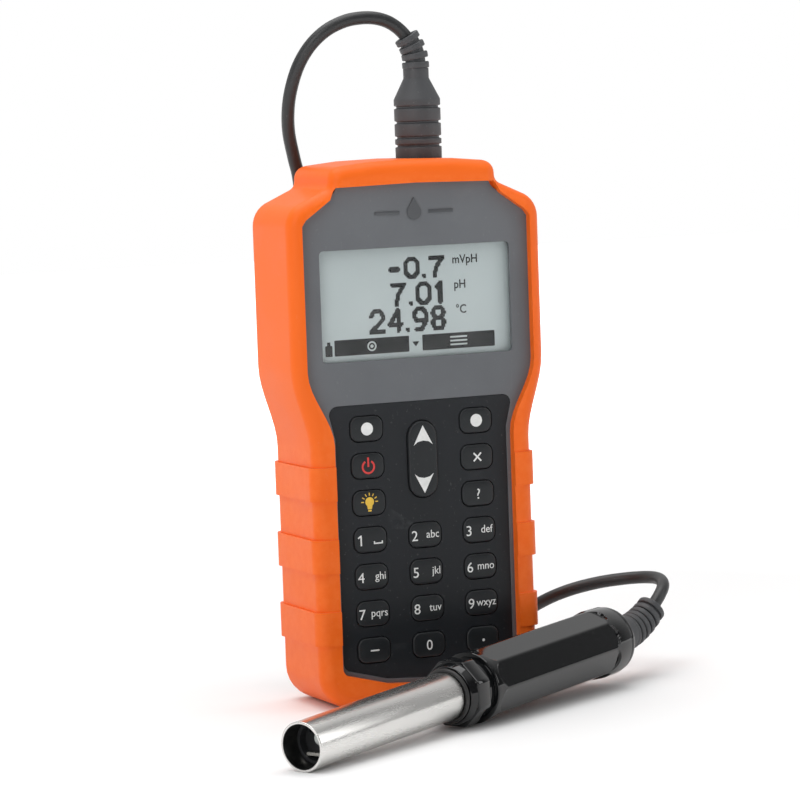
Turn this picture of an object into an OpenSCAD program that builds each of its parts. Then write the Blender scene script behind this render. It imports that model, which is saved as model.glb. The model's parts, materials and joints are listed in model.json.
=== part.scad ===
// Handheld water quality meter in a rubber boot, with a plug-in probe on a cord.
// +Z is up, the meter's front faces -Y, and the origin is the centre of its base.

/* [Meter] */
// Height from the base to the middle of the top plateau
meter_h = 185; // [175:1:222]
// Width of the boot at the display
head_w = 94; // [92:1:112]
// Width of the boot at the keypad
grip_w = 82; // [80:1:98]
// Depth of the boot, front to back
body_d = 36; // [35:0.1:43.2]
// Radius of the boot's front and back edges
edge_r = 4.5; // [2:0.5:5]
// Wall of the rubber boot
boot_wall = 2.8; // [2:0.1:3.2]
// Wall of the plastic housing
housing_wall = 2.2; // [1.8:0.1:2.6]
// Height of the raised grip pads over the boot's sides
pad_rise = 1.0; // [0.4:0.1:2]

/* [Display] */
// Width of the display opening
window_w = 71; // [58:1:72]
// Height of the display opening
window_h = 37.7; // [30:0.1:39]
// Depth of the window's face below the housing's face
window_recess = 1.4; // [0.8:0.1:1.6]

/* [Keypad] */
// Distance between key columns
column_pitch = 20.5; // [17.1:0.1:21]
// Distance between key rows
row_pitch = 12.6; // [11:0.1:12.8]
// Width of a key
key_w = 12; // [9:0.1:14.4]
// Height of a key
key_h = 8.5; // [6:0.5:9]
// Height of a key over the keypad plate
key_rise = 0.7; // [0.3:0.1:1.5]
// Travel of a key
key_travel = 0.8; // [0.4:0.1:0.9]
// Gap round a key in its hole
key_gap = 0.3; // [0.2:0.05:0.5]

/* [Batteries] */
// Diameter of a cell
cell_d = 14.5; // [10.5:0.5:14.5]
// Length of a cell
cell_l = 50.5; // [44:0.5:51]

/* [Plug] */
// Radius of the plug's rubber body
plug_r = 8; // [7.2:0.1:8.8]
// Length of the plug's ribbed body
plug_l = 21.3; // [18:0.5:28]
// Radius of the plug's metal shell
shell_r = 6.2; // [5.8:0.1:6.4]
// Radial clearance of the shell in its socket
shell_fit = 0.08; // [0.04:0.01:0.1]
// Diameter of the cord
cord_d = 4.5; // [3.6:0.1:5]

/* [Probe] */
// Diameter of the steel sleeve
sleeve_d = 16; // [14:0.5:18]
// Length of the sleeve in front of the collar
sleeve_l = 78; // [70:1:84]
// Wall of the sleeve
sleeve_wall = 0.9; // [0.6:0.1:1.2]
// Depth of the sensor face inside the tip
tip_recess = 10; // [8:0.5:14]
// Diameter of the handle
handle_d = 24; // [22:0.1:28.8]
// Length of the collar
collar_l = 12; // [12:1:16]
// Length of the handle behind the collar
handle_l = 81; // [75:1:85]

/* [Hidden] */
$fn = 48;

// Gap between parts that are assembled face to face
assembly_gap = 0.1;
// Overshoot of a cut past the face that it opens
over = 1;

// Outline of the boot, seen from the front
base_corner_r = 12;
neck_low_z = 88;
neck_high_z = meter_h - 69;
plateau_drop = 1.4;
plateau_half = 31;
plateau_corner_r = 4.6;
shoulder_r = 9;
shoulder_z = meter_h - 21.5;
foot_r = 3;
head_half = head_w / 2;
grip_half = grip_w / 2;
body_half = body_d / 2;

// Layers of the meter, front to back
face_y = -body_half + boot_wall;
wall_y = face_y + 2.4;
back_y = body_half - boot_wall;
back_wall_y = back_y - housing_wall;
parting_y = -2;
housing_inset = boot_wall + assembly_gap;
inner_inset = housing_inset + housing_wall;
board_y = -5;
board_t = 1.6;

// Display
window_z = meter_h - 48.5;
window_edge = 1.8;
window_t = 1.4;
window_y = face_y + window_recess;
lcd_y = window_y + window_t + 0.2;
lcd_t = 2.8;
light_t = 2;
frame_wall = 3;

// Keypad
first_row_z = 19.1;
plate_top_z = 102.9;
plate_half = 32;
plate_t = 1.2;
plate_y = face_y + 0.2;
pocket_floor_y = plate_y + plate_t;
key_r = 3;
key_face_y = plate_y - key_rise;
flange_grow = 1;
flange_y = wall_y + 0.2;
flange_t = 1;
post_y = flange_y + flange_t + 1.15;
mat_t = 1.2;
mat_y = board_y - mat_t;
dome_y = post_y + key_travel + 0.05;
rocker_w = 10.8;
rocker_h = 26.3;
rocker_z = first_row_z + 5 * row_pitch + 0.8;
rocker_rise = 1.2;
rocker_pin_y = flange_y + 1.2;
rocker_pin_r = 0.9;
rocker_pin_fit = 0.06;
rocker_ear_x = rocker_w / 2 + 0.8;
rocker_ear_w = 2.2;

// Batteries and their cover
cell_gap = 0.4;
cell_rows = 4;
cell_pitch = cell_d + cell_gap;
pocket_half_x = cell_l / 2 + 4.2;
pocket_half_z = cell_rows * cell_pitch / 2 + 0.2;
pocket_z = 53;
pocket_floor = board_y + board_t + 0.2;
pocket_floor_t = 1;
cell_y = pocket_floor + pocket_floor_t + 0.1 + cell_d / 2;
cover_half_x = pocket_half_x + 3;
cover_half_z = pocket_half_z + 6.8;
cover_seat_y = back_wall_y - 0.1;
cover_gap = 0.3;
cover_screw_x = cell_l / 2 - 3.25;
cover_screw_z = pocket_half_z + 3.6;
boot_window_gap = 2;

// Fastenings of the housing
case_screw_r = 1.2;
case_low = [grip_half - 12, 11.5];
case_high = [head_half - 10.5, shoulder_z + 1.5];
board_post_gap = 3.1;
board_post = [[column_pitch + key_w / 2 + flange_grow + board_post_gap, 18], [24, shoulder_z + 4.5]];
board_low_z = 14;
board_high_z = meter_h - 12.5;

// Probe socket and plug
socket_x = 12;
socket_y = 5;
socket_top = meter_h - boot_wall + 1.2;
socket_bore_r = shell_r + shell_fit;
socket_r = socket_bore_r + 0.8;
flange_r = socket_r + 1.6;
socket_low_z = socket_top - 11;
insert_r = 4.6;
pin_r = 0.5;
pin_fit = 0.06;
pin_circle_r = 2.7;
pin_count = 5;
boot_hole_r = flange_r + 1.12;
plug_z = socket_top + 0.2;
plug_neck_r = 4.4;
plug_cone_l = 7.2;
plug_neck_l = 3.5;
relief_z = plug_z + plug_l + plug_cone_l + plug_neck_l;

// Ribbed strain reliefs
relief_pitch = 3.2;
relief_core_r = 3.5;
relief_ring_share = 0.62;
plug_relief_turn = [-2, -12, 0];
probe_relief_turn = [1.5, -6.5, 0];
probe_relief_plain_l = 9.5;
relief_bore_r = cord_d / 2;

// Probe, along its own +X from the tip
sleeve_r = sleeve_d / 2;
sleeve_bore_r = sleeve_r - sleeve_wall;
// The sleeve is turned down where it goes into the collar
sleeve_neck_r = sleeve_r - 0.35;
sleeve_plain_l = sleeve_l - 2;
sleeve_seated_l = 8;
handle_r = handle_d / 2;
core_l = 44;
collar_x = sleeve_l;
handle_x = collar_x + collar_l;
tail_x = handle_x + handle_l;
handle_bore_r = handle_r - 3;
cap_t = 4;
probe_relief_r = 6.4;
// The tip's rim and the handle's front edge both rest on the floor
probe_lift = asin((handle_r - sleeve_r) / handle_x);
probe_heading = 29;
tip_point = [-88, -109, sleeve_r * cos(probe_lift)];

// Cord route, from the plug over and down behind the meter, and on to the probe.
// Its upper part rises with a taller meter.
route_rise = relief_z - 215.6;
function risen(p) = [p[0], p[1], p[2] + route_rise * max(0, min(1, (p[2] - 20) / 160))];
upper_route = [for (p = [
    [12, 5, 217.5], [11.6, 5.1, 220.8], [10.4, 5.3, 224.2], [8.5, 5.6, 227],
    [5.8, 6, 229.7], [2.2, 6.5, 231.9], [-2.3, 7, 233.1], [-7.5, 7.5, 233.2],
    [-13, 8.4, 232.2], [-19, 10, 229.3], [-24.2, 12, 224.3], [-27.8, 14.5, 217.6],
    [-29.6, 17.5, 209.5], [-29.9, 20, 202], [-28.9, 22.3, 194.5], [-26.5, 24.3, 186],
    [-24.2, 26, 178], [-22.2, 28.5, 160], [-21.2, 31.5, 138], [-20.5, 35, 112],
    [-19, 38.5, 86], [-15.5, 42.5, 60], [-9, 48, 35], [-0.5, 54.5, 16],
    [7.6, 62, 6.3], [12.4, 71, 3.4], [13.7, 80, 2.9]
]) risen(p)];
lower_route = [
    [87, -13.5, 22.25], [89.2, -12.8, 24.35], [92.5, -11.1, 27.25], [95.4, -8.2, 29.35],
    [97.4, -4.2, 30.5], [98.3, 0.3, 31.1], [97.7, 5.2, 31.1], [95.3, 10.1, 30.7], [90.8, 14.8, 30],
    [84, 19, 28.9], [76, 22.8, 27], [69.2, 27.6, 24], [64, 34.4, 19.5], [61.4, 43, 13.6],
    [62, 51.5, 8.6], [65, 60, 5.2], [67.4, 68, 5], [67.4, 75, 7], [66.5, 81, 7.5]
];
coil_centre = [40, 84];
coil_mean_r = 23.95;
coil_low_z = 0.6;
coil_turns_wide = 2;
coil_turns_high = 2;
cord_sides = 10;
rings_per_span = 2;

// Points of an arc
function arc(cx, cy, r, from, to, steps) = [
    for (i = [0 : steps])
        let (a = from + (to - from) * i / steps)
        [cx + r * cos(a), cy + r * sin(a)]
];

// Smooth step from 0 to 1
function ease(t) = t * t * (3 - 2 * t);

// A curve that leaves (x0, z0) and reaches (x1, z1) upright
function sway(x0, z0, x1, z1, steps) = [
    for (i = [0 : steps])
        [x0 + (x1 - x0) * ease(i / steps), z0 + (z1 - z0) * i / steps]
];

// Both halves of an outline that is symmetric about x = 0
function mirrored(half) = concat(half, [
    for (i = [len(half) - 1 : -1 : 0]) if (half[i][0] > 0.01) [-half[i][0], half[i][1]]
]);

plateau_z = meter_h - plateau_drop;
foot_z = meter_h - 6.6;
boot_half_outline = concat(
    arc(grip_half - base_corner_r, base_corner_r, base_corner_r, -90, 0, 7),
    sway(grip_half, neck_low_z, head_half, neck_high_z, 8),
    arc(head_half - shoulder_r, shoulder_z, shoulder_r, 0, 62, 6),
    arc(plateau_half + foot_r, foot_z, foot_r, 242, 180, 4),
    arc(plateau_half - plateau_corner_r, plateau_z - plateau_corner_r, plateau_corner_r, 0, 84, 6),
    [[plateau_half / 2, meter_h - plateau_drop / 4], [0, meter_h]]
);
boot_outline = mirrored(boot_half_outline);

// Opening in the boot's front, which shows the housing
panel_grip_half = plate_half + 1.5;
panel_half = head_half - 4.6;
panel_top_z = meter_h - 8.6;
panel_outline = mirrored(concat(
    [[0, 6.2], [16, 7.4]],
    arc(panel_grip_half - 3, 14.4, 3, -68, 0, 4),
    sway(panel_grip_half, 90, panel_half, meter_h - 70, 8),
    [[panel_half, meter_h - 21], [panel_half - 1.4, meter_h - 19]],
    [[panel_half - 6, meter_h - 15.8], [panel_half - 10.6, meter_h - 12.6]],
    [[panel_half - 12, panel_top_z - 1.2], [panel_half - 13, panel_top_z], [0, panel_top_z + 0.6]]
));

// Black keypad plate
plate_outline = mirrored(concat(
    [[0, 7.9], [16, 9]],
    arc(plate_half - 3, 15.6, 3, -68, 0, 4),
    [[plate_half, plate_top_z - 11]],
    arc(plate_half - 1, plate_top_z - 3, 3, 0, 90, 4)
));

// Unit vector, and the outward normal at one point of an outline
function unit(v) = v / norm(v);
function outward(points, i) =
    let (n = len(points), d = unit(points[(i + 1) % n] - points[(i + n - 1) % n]))
    [d[1], -d[0]];

// Edge profile of the boot: [inset, y] of each ring, back to front, with ends past the faces
edge_steps = 5;
edge_profile = concat(
    [[edge_r, body_half + over]],
    [for (k = [0 : edge_steps]) let (a = 90 * k / edge_steps)
        [edge_r * (1 - sin(a)), body_half - edge_r * (1 - cos(a))]],
    [for (k = [edge_steps : -1 : 0]) let (a = 90 * k / edge_steps)
        [edge_r * (1 - sin(a)), -body_half + edge_r * (1 - cos(a))]],
    [[edge_r, -body_half - over]]
);

// A solid whose rings all have the same number of points
module loft(rings) {
    count = len(rings[0]);
    last = len(rings) - 1;
    polyhedron(
        points = [for (ring = rings) each ring],
        faces = concat(
            [[for (i = [0 : count - 1]) i]],
            [[for (i = [count - 1 : -1 : 0]) last * count + i]],
            [for (k = [0 : last - 1]) for (i = [0 : count - 1])
                let (a = k * count + i, b = k * count + (i + 1) % count)
                each [[a, a + count, b], [b, a + count, b + count]]]
        ),
        convexity = 6
    );
}

// Extrudes an x-z outline from y to y + depth
module upright(y, depth) {
    translate([0, y + depth, 0]) rotate([90, 0, 0]) linear_extrude(depth) children();
}

// A round pin or hole along y, from y to y + depth
module along_y(x, z, r, y, depth) {
    translate([x, y + depth, z]) rotate([90, 0, 0]) cylinder(r = r, h = depth);
}

// Outline of the meter, moved in by an inset
module meter_outline(inset) {
    offset(delta = -inset) polygon(boot_outline);
}

module rounded_rect(w, h, r) {
    offset(r = r, $fn = 24) square([w - 2 * r, h - 2 * r], center = true);
}

// Places a child at each of four points, mirrored left and right
module four(low, high) {
    for (side = [-1, 1]) {
        translate([side * low[0], 0, low[1]]) children();
        translate([side * high[0], 0, high[1]]) children();
    }
}

function row_z(row) = first_row_z + row * row_pitch;
function column_x(column) = column * column_pitch;

// Rows and columns of the small keys
key_places = [
    for (row = [0 : 6]) for (column = [-1 : 1])
        if (column != 0 || row < 4) [column_x(column), row_z(row)]
];

// Holes for all keys and the rocker
module key_holes(gap) {
    for (p = key_places)
        translate(p) rounded_rect(key_w + 2 * gap, key_h + 2 * gap, key_r + gap);
    translate([0, rocker_z])
        rounded_rect(rocker_w + 2 * gap, rocker_h + 2 * gap, rocker_w / 2 + gap - 0.01);
}

// ---- Meter shells ----

module boot() {
    color("darkorange") difference() {
        union() {
            intersection() {
                loft([for (e = edge_profile) [
                    for (i = [0 : len(boot_outline) - 1])
                        let (p = boot_outline[i] - e[0] * outward(boot_outline, i))
                        [p[0], e[1], p[1]]
                ]]);
                upright(-body_half, body_d) square([2 * head_w, 3 * meter_h], center = true);
            }
            grip_pads();
        }
        upright(face_y, body_d - 2 * boot_wall) meter_outline(boot_wall);
        upright(-body_half - over, boot_wall + 2 * over) polygon(panel_outline);
        upright(back_y - over, boot_wall + 2 * over) translate([0, pocket_z])
            rounded_rect(2 * (cover_half_x + boot_window_gap),
                2 * (cover_half_z + boot_window_gap), 6);
        translate([socket_x, socket_y, meter_h - 12]) cylinder(r = boot_hole_r, h = 20);
    }
}

// Three pads on each side, wrapped over the boot's front and back edges
pad_h = 11.5;
pad_pitch = 24.5;
pad_first_z = 28.1;
pad_reach = 7.5;
module grip_pads() {
    for (row = [0 : 2]) for (side = [-1, 1])
        translate([0, 0, pad_first_z + row * pad_pitch - pad_h / 2]) linear_extrude(pad_h) difference() {
            offset(r = edge_r)
                square([grip_w + 2 * (pad_rise - edge_r), body_d + pad_rise - 2 * edge_r], center = true);
            translate([-side * (over + pad_reach), 0])
                square([grip_w + 2 * over, 2 * body_d], center = true);
            square([grip_w - boot_wall, body_d - boot_wall], center = true);
        }
}

module housing_shell(y, depth) {
    upright(y, depth) meter_outline(housing_inset);
}

module front_housing() {
    color("dimgray") difference() {
        union() {
            difference() {
                housing_shell(face_y, parting_y - face_y);
                upright(wall_y, parting_y - wall_y + over) meter_outline(inner_inset);
            }
            intersection() {
                housing_shell(face_y, parting_y - face_y);
                four(case_low, case_high) along_y(0, 0, 3.2, wall_y - 0.5, parting_y - wall_y + 0.5);
            }
            four(board_post[0], board_post[1]) along_y(0, 0, 2.6, wall_y - 0.5, board_y - wall_y + 0.5);
            upright(face_y - 0.35, 0.5) water_mark();
        }
        upright(face_y - over, pocket_floor_y - face_y + over)
            offset(delta = assembly_gap) polygon(plate_outline);
        upright(face_y - over, wall_y - face_y + 2 * over) key_holes(key_gap);
        upright(face_y - over, wall_y - face_y + 2 * over)
            translate([0, window_z]) rounded_rect(window_w, window_h, 1.5);
        upright(window_y, wall_y - window_y + over) translate([0, window_z]) window_outline(assembly_gap);
        four(case_low, case_high) along_y(0, 0, case_screw_r + 0.05, parting_y - 8, 8 + over);
        four(board_post[0], board_post[1]) along_y(0, 0, 1.05, board_y - 5, 5 + over);
        translate([socket_x, socket_y, socket_top - 6]) cylinder(r = flange_r + 1, h = 12);
    }
}

// Drop-shaped mark raised over the display, between two bars
module water_mark() {
    translate([0, meter_h - 18]) {
        circle(r = 2.6, $fn = 32);
        polygon([[-2.3, 1.2], [0, 5], [2.3, 1.2]]);
        for (side = [-1, 1]) translate([side * 10, 0]) square([9, 1.1], center = true);
    }
}

module rear_housing() {
    color("gray") difference() {
        union() {
            difference() {
                housing_shell(parting_y, back_y - parting_y);
                upright(parting_y - over, back_wall_y - parting_y + over) meter_outline(inner_inset);
            }
            battery_pocket_block();
            intersection() {
                housing_shell(parting_y, back_y - parting_y);
                four(case_low, case_high) along_y(0, 0, 3.2, parting_y, back_wall_y - parting_y + 0.5);
            }
            intersection() {
                translate([socket_x, socket_y, socket_top - 5]) cylinder(r = flange_r + 0.7, h = 4);
                upright(parting_y, back_y - parting_y) square([head_w, 2 * meter_h], center = true);
            }
        }
        upright(pocket_floor + pocket_floor_t, body_d) translate([0, pocket_z])
            square([2 * pocket_half_x, 2 * pocket_half_z], center = true);
        upright(cover_seat_y, body_d) translate([0, pocket_z])
            rounded_rect(2 * (cover_half_x + cover_gap), 2 * (cover_half_z + cover_gap), 4 + cover_gap);
        upright(cover_seat_y - gasket_t, gasket_t + over) translate([0, pocket_z]) gasket_outline(0.05);
        translate([0, 0, pocket_z]) four([cover_screw_x, -cover_screw_z], [cover_screw_x, cover_screw_z])
            along_y(0, 0, cover_screw_r + cover_screw_fit, cover_seat_y - 7, 7 + over);
        four(case_low, case_high) {
            along_y(0, 0, case_screw_r + 0.15, parting_y - over, body_d);
            along_y(0, 0, 2.6, back_y - 2.2, body_d);
        }
        upright(parting_y - over, seal_t + over) seal_outline(0.05);
        translate([socket_x, socket_y, socket_low_z - 1]) cylinder(r = socket_r + assembly_gap, h = 20);
    }
}

module battery_pocket_block() {
    upright(pocket_floor, cover_seat_y - pocket_floor) translate([0, pocket_z])
        square([2 * (grip_half - inner_inset - 0.6), 2 * (pocket_half_z + 1.4)], center = true);
    upright(parting_y, cover_seat_y - parting_y) translate([0, pocket_z])
        square([2 * (grip_half - inner_inset + 0.5), 2 * (cover_half_z + 1)], center = true);
}

seal_t = 0.9;
module seal_outline(gap) {
    difference() {
        offset(delta = gap) meter_outline(housing_inset + 0.7);
        offset(delta = -gap) meter_outline(inner_inset - 0.6);
    }
}

module housing_seal() {
    color("black") difference() {
        upright(parting_y, seal_t - 0.05) seal_outline(0);
        translate([socket_x, socket_y, socket_top - 6]) cylinder(r = flange_r + 1, h = 12);
        four(case_low, case_high) along_y(0, 0, 3.3, parting_y - over, seal_t + 2 * over);
    }
}

module case_screws() {
    color("silver") four(case_low, case_high) {
        along_y(0, 0, 2.4, back_y - 2.2, 1.8);
        along_y(0, 0, case_screw_r, parting_y - 6, back_y - 2.2 - parting_y + 6);
    }
}

// ---- Display ----

module window_outline(grow) {
    rounded_rect(window_w + 2 * (window_edge + grow), window_h + 2 * (window_edge + grow), 2);
}

module display_window() {
    color("lightblue") upright(window_y + 0.02, window_t) translate([0, window_z]) window_outline(0);
}

module lcd_panel() {
    color("darkseagreen") upright(lcd_y, lcd_t) translate([0, window_z])
        square([window_w + 3, window_h + 4.3], center = true);
}

module lcd_backlight() {
    color("white") upright(lcd_y + lcd_t + 0.2, light_t) translate([0, window_z])
        square([window_w + 1, window_h + 2.3], center = true);
}

module display_frame() {
    color("whitesmoke") upright(lcd_y - 0.1, board_y - lcd_y) translate([0, window_z]) difference() {
        square([window_w + 3.4 + 2 * frame_wall, window_h + 4.7 + 2 * frame_wall], center = true);
        square([window_w + 3.4, window_h + 4.7], center = true);
    }
}

// ---- Electronics ----

module main_board() {
    color("darkgreen") difference() {
        upright(board_y, board_t) intersection() {
            meter_outline(inner_inset + 0.8);
            translate([-head_half, board_low_z]) square([head_w, board_high_z - board_low_z]);
        }
        four(case_low, case_high) along_y(0, 0, 5.6, board_y - over, board_t + 2 * over);
        four(board_post[0], board_post[1]) along_y(0, 0, 1.3, board_y - over, board_t + 2 * over);
        translate([socket_x, socket_y, socket_low_z - 3]) cylinder(r = flange_r + 1.5, h = 30);
    }
}

// Processor, driver chips, a buzzer and the socket header
module board_parts() {
    color("black") {
        upright(board_y + board_t + 0.01, 1.6) {
            translate([0, window_z - 6]) square([14, 14], center = true);
            for (side = [-1, 1]) translate([side * 18, window_z + 8]) square([9, 6], center = true);
            translate([-6, meter_h - 24]) square([8, 4], center = true);
        }
        along_y(-26, window_z + 4, 5, board_y + board_t + 0.01, 4);
        along_y(26, window_z - 14, 2, board_y + board_t + 0.01, 5);
    }
}

module board_screws() {
    color("silver") four(board_post[0], board_post[1]) {
        along_y(0, 0, 2, board_y + board_t + 0.02, 1.2);
        along_y(0, 0, 1, board_y - 4.5, 4.5 + board_t + 0.5);
    }
}

// ---- Keypad ----

module keypad_plate() {
    color("#24272a") difference() {
        upright(plate_y, plate_t) polygon(plate_outline);
        upright(plate_y - over, plate_t + 2 * over) key_holes(key_gap);
    }
}

module key_mat() {
    color("gainsboro") {
        upright(mat_y, mat_t - 0.02) translate([0, first_row_z + 3 * row_pitch])
            square([2 * (column_pitch + 5.6), 6 * row_pitch + 12], center = true);
        for (p = key_places)
            along_y(p[0], p[1], 3, dome_y, mat_y - dome_y + 0.5);
        for (end = [-1, 1])
            along_y(0, rocker_z + end * rocker_h / 3.2, 3, dome_y, mat_y - dome_y + 0.5);
    }
}

// One key: the cap, the flange that keeps it in, and the post behind it
module key_cap(column, row) {
    color("#2b2e31") translate([column_x(column), 0, row_z(row)]) {
        upright(key_face_y + 0.25, post_y - key_face_y - 0.25) rounded_rect(key_w, key_h, key_r);
        upright(key_face_y, 0.5) rounded_rect(key_w - 0.7, key_h - 0.7, key_r - 0.35);
        upright(flange_y, flange_t)
            rounded_rect(key_w + 2 * flange_grow, key_h + 2 * flange_grow, key_r + flange_grow);
    }
}

module key_soft_left() { key_cap(-1, 6); }
module key_soft_right() { key_cap(1, 6); }
module key_power() { key_cap(-1, 5); }
module key_escape() { key_cap(1, 5); }
module key_light() { key_cap(-1, 4); }
module key_help() { key_cap(1, 4); }
module key_1() { key_cap(-1, 3); }
module key_2() { key_cap(0, 3); }
module key_3() { key_cap(1, 3); }
module key_4() { key_cap(-1, 2); }
module key_5() { key_cap(0, 2); }
module key_6() { key_cap(1, 2); }
module key_7() { key_cap(-1, 1); }
module key_8() { key_cap(0, 1); }
module key_9() { key_cap(1, 1); }
module key_minus() { key_cap(-1, 0); }
module key_0() { key_cap(0, 0); }
module key_point() { key_cap(1, 0); }

// Rocker with two arrows, turning on short trunnions behind its middle
module rocker_key() {
    color("#1c1e20") {
        translate([0, 0, rocker_z]) {
            upright(plate_y - rocker_rise + 0.3, flange_y - plate_y + rocker_rise + 1)
                rounded_rect(rocker_w, rocker_h, rocker_w / 2 - 0.01);
            upright(plate_y - rocker_rise, 0.5)
                rounded_rect(rocker_w - 0.8, rocker_h - 0.8, rocker_w / 2 - 0.41);
            upright(flange_y, 2.4) square([rocker_w - 1, 6], center = true);
        }
        translate([0, rocker_pin_y, rocker_z]) rotate([0, 90, 0])
            cylinder(r = rocker_pin_r, h = 2 * (rocker_ear_x + rocker_ear_w), center = true);
    }
}

// Bracket that carries the rocker's trunnions
module rocker_cradle() {
    color("gray") difference() {
        translate([0, 0, rocker_z]) union() {
            for (side = [-1, 1])
                translate([side * (rocker_ear_x + rocker_ear_w / 2), (wall_y + mat_y) / 2, 0])
                    cube([rocker_ear_w, mat_y - wall_y - 0.04, 5], center = true);
            translate([0, mat_y - 0.62, 0])
                cube([2 * (rocker_ear_x + rocker_ear_w), 1.2, 5], center = true);
        }
        translate([0, rocker_pin_y, rocker_z]) rotate([0, 90, 0])
            cylinder(r = rocker_pin_r + rocker_pin_fit, h = 40, center = true);
    }
}

// ---- Batteries ----

function cell_row_z(row) = pocket_z + (row - (cell_rows - 1) / 2) * cell_pitch;

module batteries() {
    color("steelblue") for (row = [0 : cell_rows - 1]) {
        way = row % 2 == 0 ? 1 : -1;
        translate([0, cell_y, cell_row_z(row)]) rotate([0, 90 * way, 0]) {
            translate([0, 0, -cell_l / 2]) cylinder(d = cell_d, h = cell_l - 1.2);
            translate([0, 0, cell_l / 2 - 1.3]) cylinder(r = 2.7, h = 1.3);
        }
    }
}

// End plates with a cone spring or a button for each cell
module battery_contacts() {
    color("silver") for (side = [-1, 1]) {
        translate([side * (pocket_half_x - 0.3), cell_y, pocket_z])
            cube([0.4, 11, 2 * pocket_half_z - 1], center = true);
        for (row = [0 : cell_rows - 1])
            translate([side * (cell_l / 2 + 0.05), cell_y, cell_row_z(row)]) rotate([0, 90 * side, 0])
                cylinder(r1 = 2.2, r2 = 4.2, h = pocket_half_x - cell_l / 2 - 0.4);
    }
}

gasket_t = 1.2;
module gasket_outline(gap) {
    difference() {
        rounded_rect(2 * (pocket_half_x + 1.5 + gap), 2 * (pocket_half_z + 1.5 + gap), 2);
        rounded_rect(2 * (pocket_half_x + 0.5 - gap), 2 * (pocket_half_z + 0.5 - gap), 1);
    }
}

module battery_gasket() {
    color("black") upright(cover_seat_y - gasket_t + 0.02, gasket_t - 0.1)
        translate([0, pocket_z]) gasket_outline(0);
}

cover_screw_r = 1.25;
cover_screw_fit = 0.08;
cover_screw_l = 6;
module battery_cover() {
    color("dimgray") difference() {
        upright(cover_seat_y + 0.05, back_y - cover_seat_y - 0.1) translate([0, pocket_z])
            rounded_rect(2 * cover_half_x, 2 * cover_half_z, 4);
        translate([0, 0, pocket_z]) four([cover_screw_x, -cover_screw_z], [cover_screw_x, cover_screw_z]) {
            along_y(0, 0, cover_screw_r + 0.15, cover_seat_y - over, 10);
            along_y(0, 0, 2.6, back_y - 1.3, 5);
        }
        for (row = [-3 : 3])
            upright(back_y - 0.6, 3) translate([0, pocket_z + row * 5]) square([34, 1.6], center = true);
    }
}

module cover_screws() {
    color("silver")
        translate([0, 0, pocket_z]) four([cover_screw_x, -cover_screw_z], [cover_screw_x, cover_screw_z])
            difference() {
                union() {
                    along_y(0, 0, cover_screw_r, cover_seat_y - cover_screw_l,
                        back_y - 1 - cover_seat_y + cover_screw_l);
                    along_y(0, 0, 2.4, back_y - 1.28, 1);
                }
                upright(back_y - 0.7, 2) square([3.6, 0.6], center = true);
            }
}

// ---- Socket and plug ----

module on_socket(z) {
    translate([socket_x, socket_y, z]) children();
}

module probe_socket() {
    color("silver") on_socket(0) difference() {
        union() {
            translate([0, 0, socket_low_z]) cylinder(r = socket_r, h = socket_top - socket_low_z);
            translate([0, 0, socket_top - 0.98]) cylinder(r = flange_r, h = 0.98);
        }
        translate([0, 0, socket_low_z - over]) cylinder(r = socket_bore_r, h = 30);
    }
}

module pin_circle() {
    for (i = [0 : pin_count - 1])
        rotate([0, 0, 360 * i / pin_count]) translate([pin_circle_r, 0, 0]) children();
}

module socket_insert() {
    color("black") on_socket(0) difference() {
        union() {
            translate([0, 0, socket_low_z]) cylinder(r = socket_bore_r - 0.02, h = 2);
            translate([0, 0, socket_low_z]) cylinder(r = insert_r, h = 8);
        }
        pin_circle() translate([0, 0, socket_low_z + 2]) cylinder(r = pin_r + pin_fit, h = 10, $fn = 24);
    }
}

module socket_nut() {
    color("silver") on_socket(socket_top - 5 - 2.4) difference() {
        cylinder(r = flange_r + 0.2, h = 2.2, $fn = 6);
        translate([0, 0, -over]) cylinder(r = socket_r + 0.05, h = 6);
    }
}

module socket_seal() {
    color("black") on_socket(socket_top - 0.98) difference() {
        cylinder(r = boot_hole_r - 0.4, h = 0.9);
        translate([0, 0, -over]) cylinder(r = flange_r + 0.05, h = 6);
    }
}

module plug_shell() {
    color("silver") on_socket(socket_low_z + 2.4) difference() {
        cylinder(r = shell_r, h = 15);
        translate([0, 0, -over]) cylinder(r = shell_r - 0.8, h = 17);
    }
}

module plug_pins() {
    color("gold") on_socket(0) {
        pin_circle() translate([0, 0, socket_low_z + 3]) cylinder(r = pin_r, h = 12, $fn = 24);
        translate([0, 0, socket_low_z + 14]) cylinder(r = shell_r - 0.85, h = 2);
    }
}

// Ribbed grip, cone and neck of the plug
module plug_body() {
    color("#303234") on_socket(plug_z) difference() {
        union() {
            cylinder(r = plug_r, h = plug_l);
            translate([0, 0, plug_l]) cylinder(r1 = plug_r, r2 = plug_neck_r, h = plug_cone_l);
            translate([0, 0, plug_l + plug_cone_l]) cylinder(r = plug_neck_r, h = plug_neck_l);
        }
        translate([0, 0, -over]) cylinder(r = shell_r + 0.05, h = 7.5 + over);
        for (z = [5, 7.8, 13, 18.2])
            translate([0, 0, z]) difference() {
                cylinder(r = plug_r + over, h = 0.9);
                cylinder(r = plug_r - 0.7, h = 0.9);
            }
        translate([0, 0, 10]) cylinder(r = relief_bore_r + 0.1, h = 40);
    }
}

// Rings on a flexible core; each step turns the rest a little
module relief_rings(count, r_first, r_last, turn) {
    total = count;
    module ring(i) {
        r = r_first + (r_last - r_first) * i / (total - 1);
        cylinder(r = relief_core_r, h = relief_pitch + 0.2, $fn = 32);
        cylinder(r = r, h = i < total - 1 ? relief_pitch * relief_ring_share : relief_pitch, $fn = 32);
        if (i < total - 1)
            translate([0, 0, relief_pitch]) rotate(turn) ring(i + 1);
    }
    ring(0);
}

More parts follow.
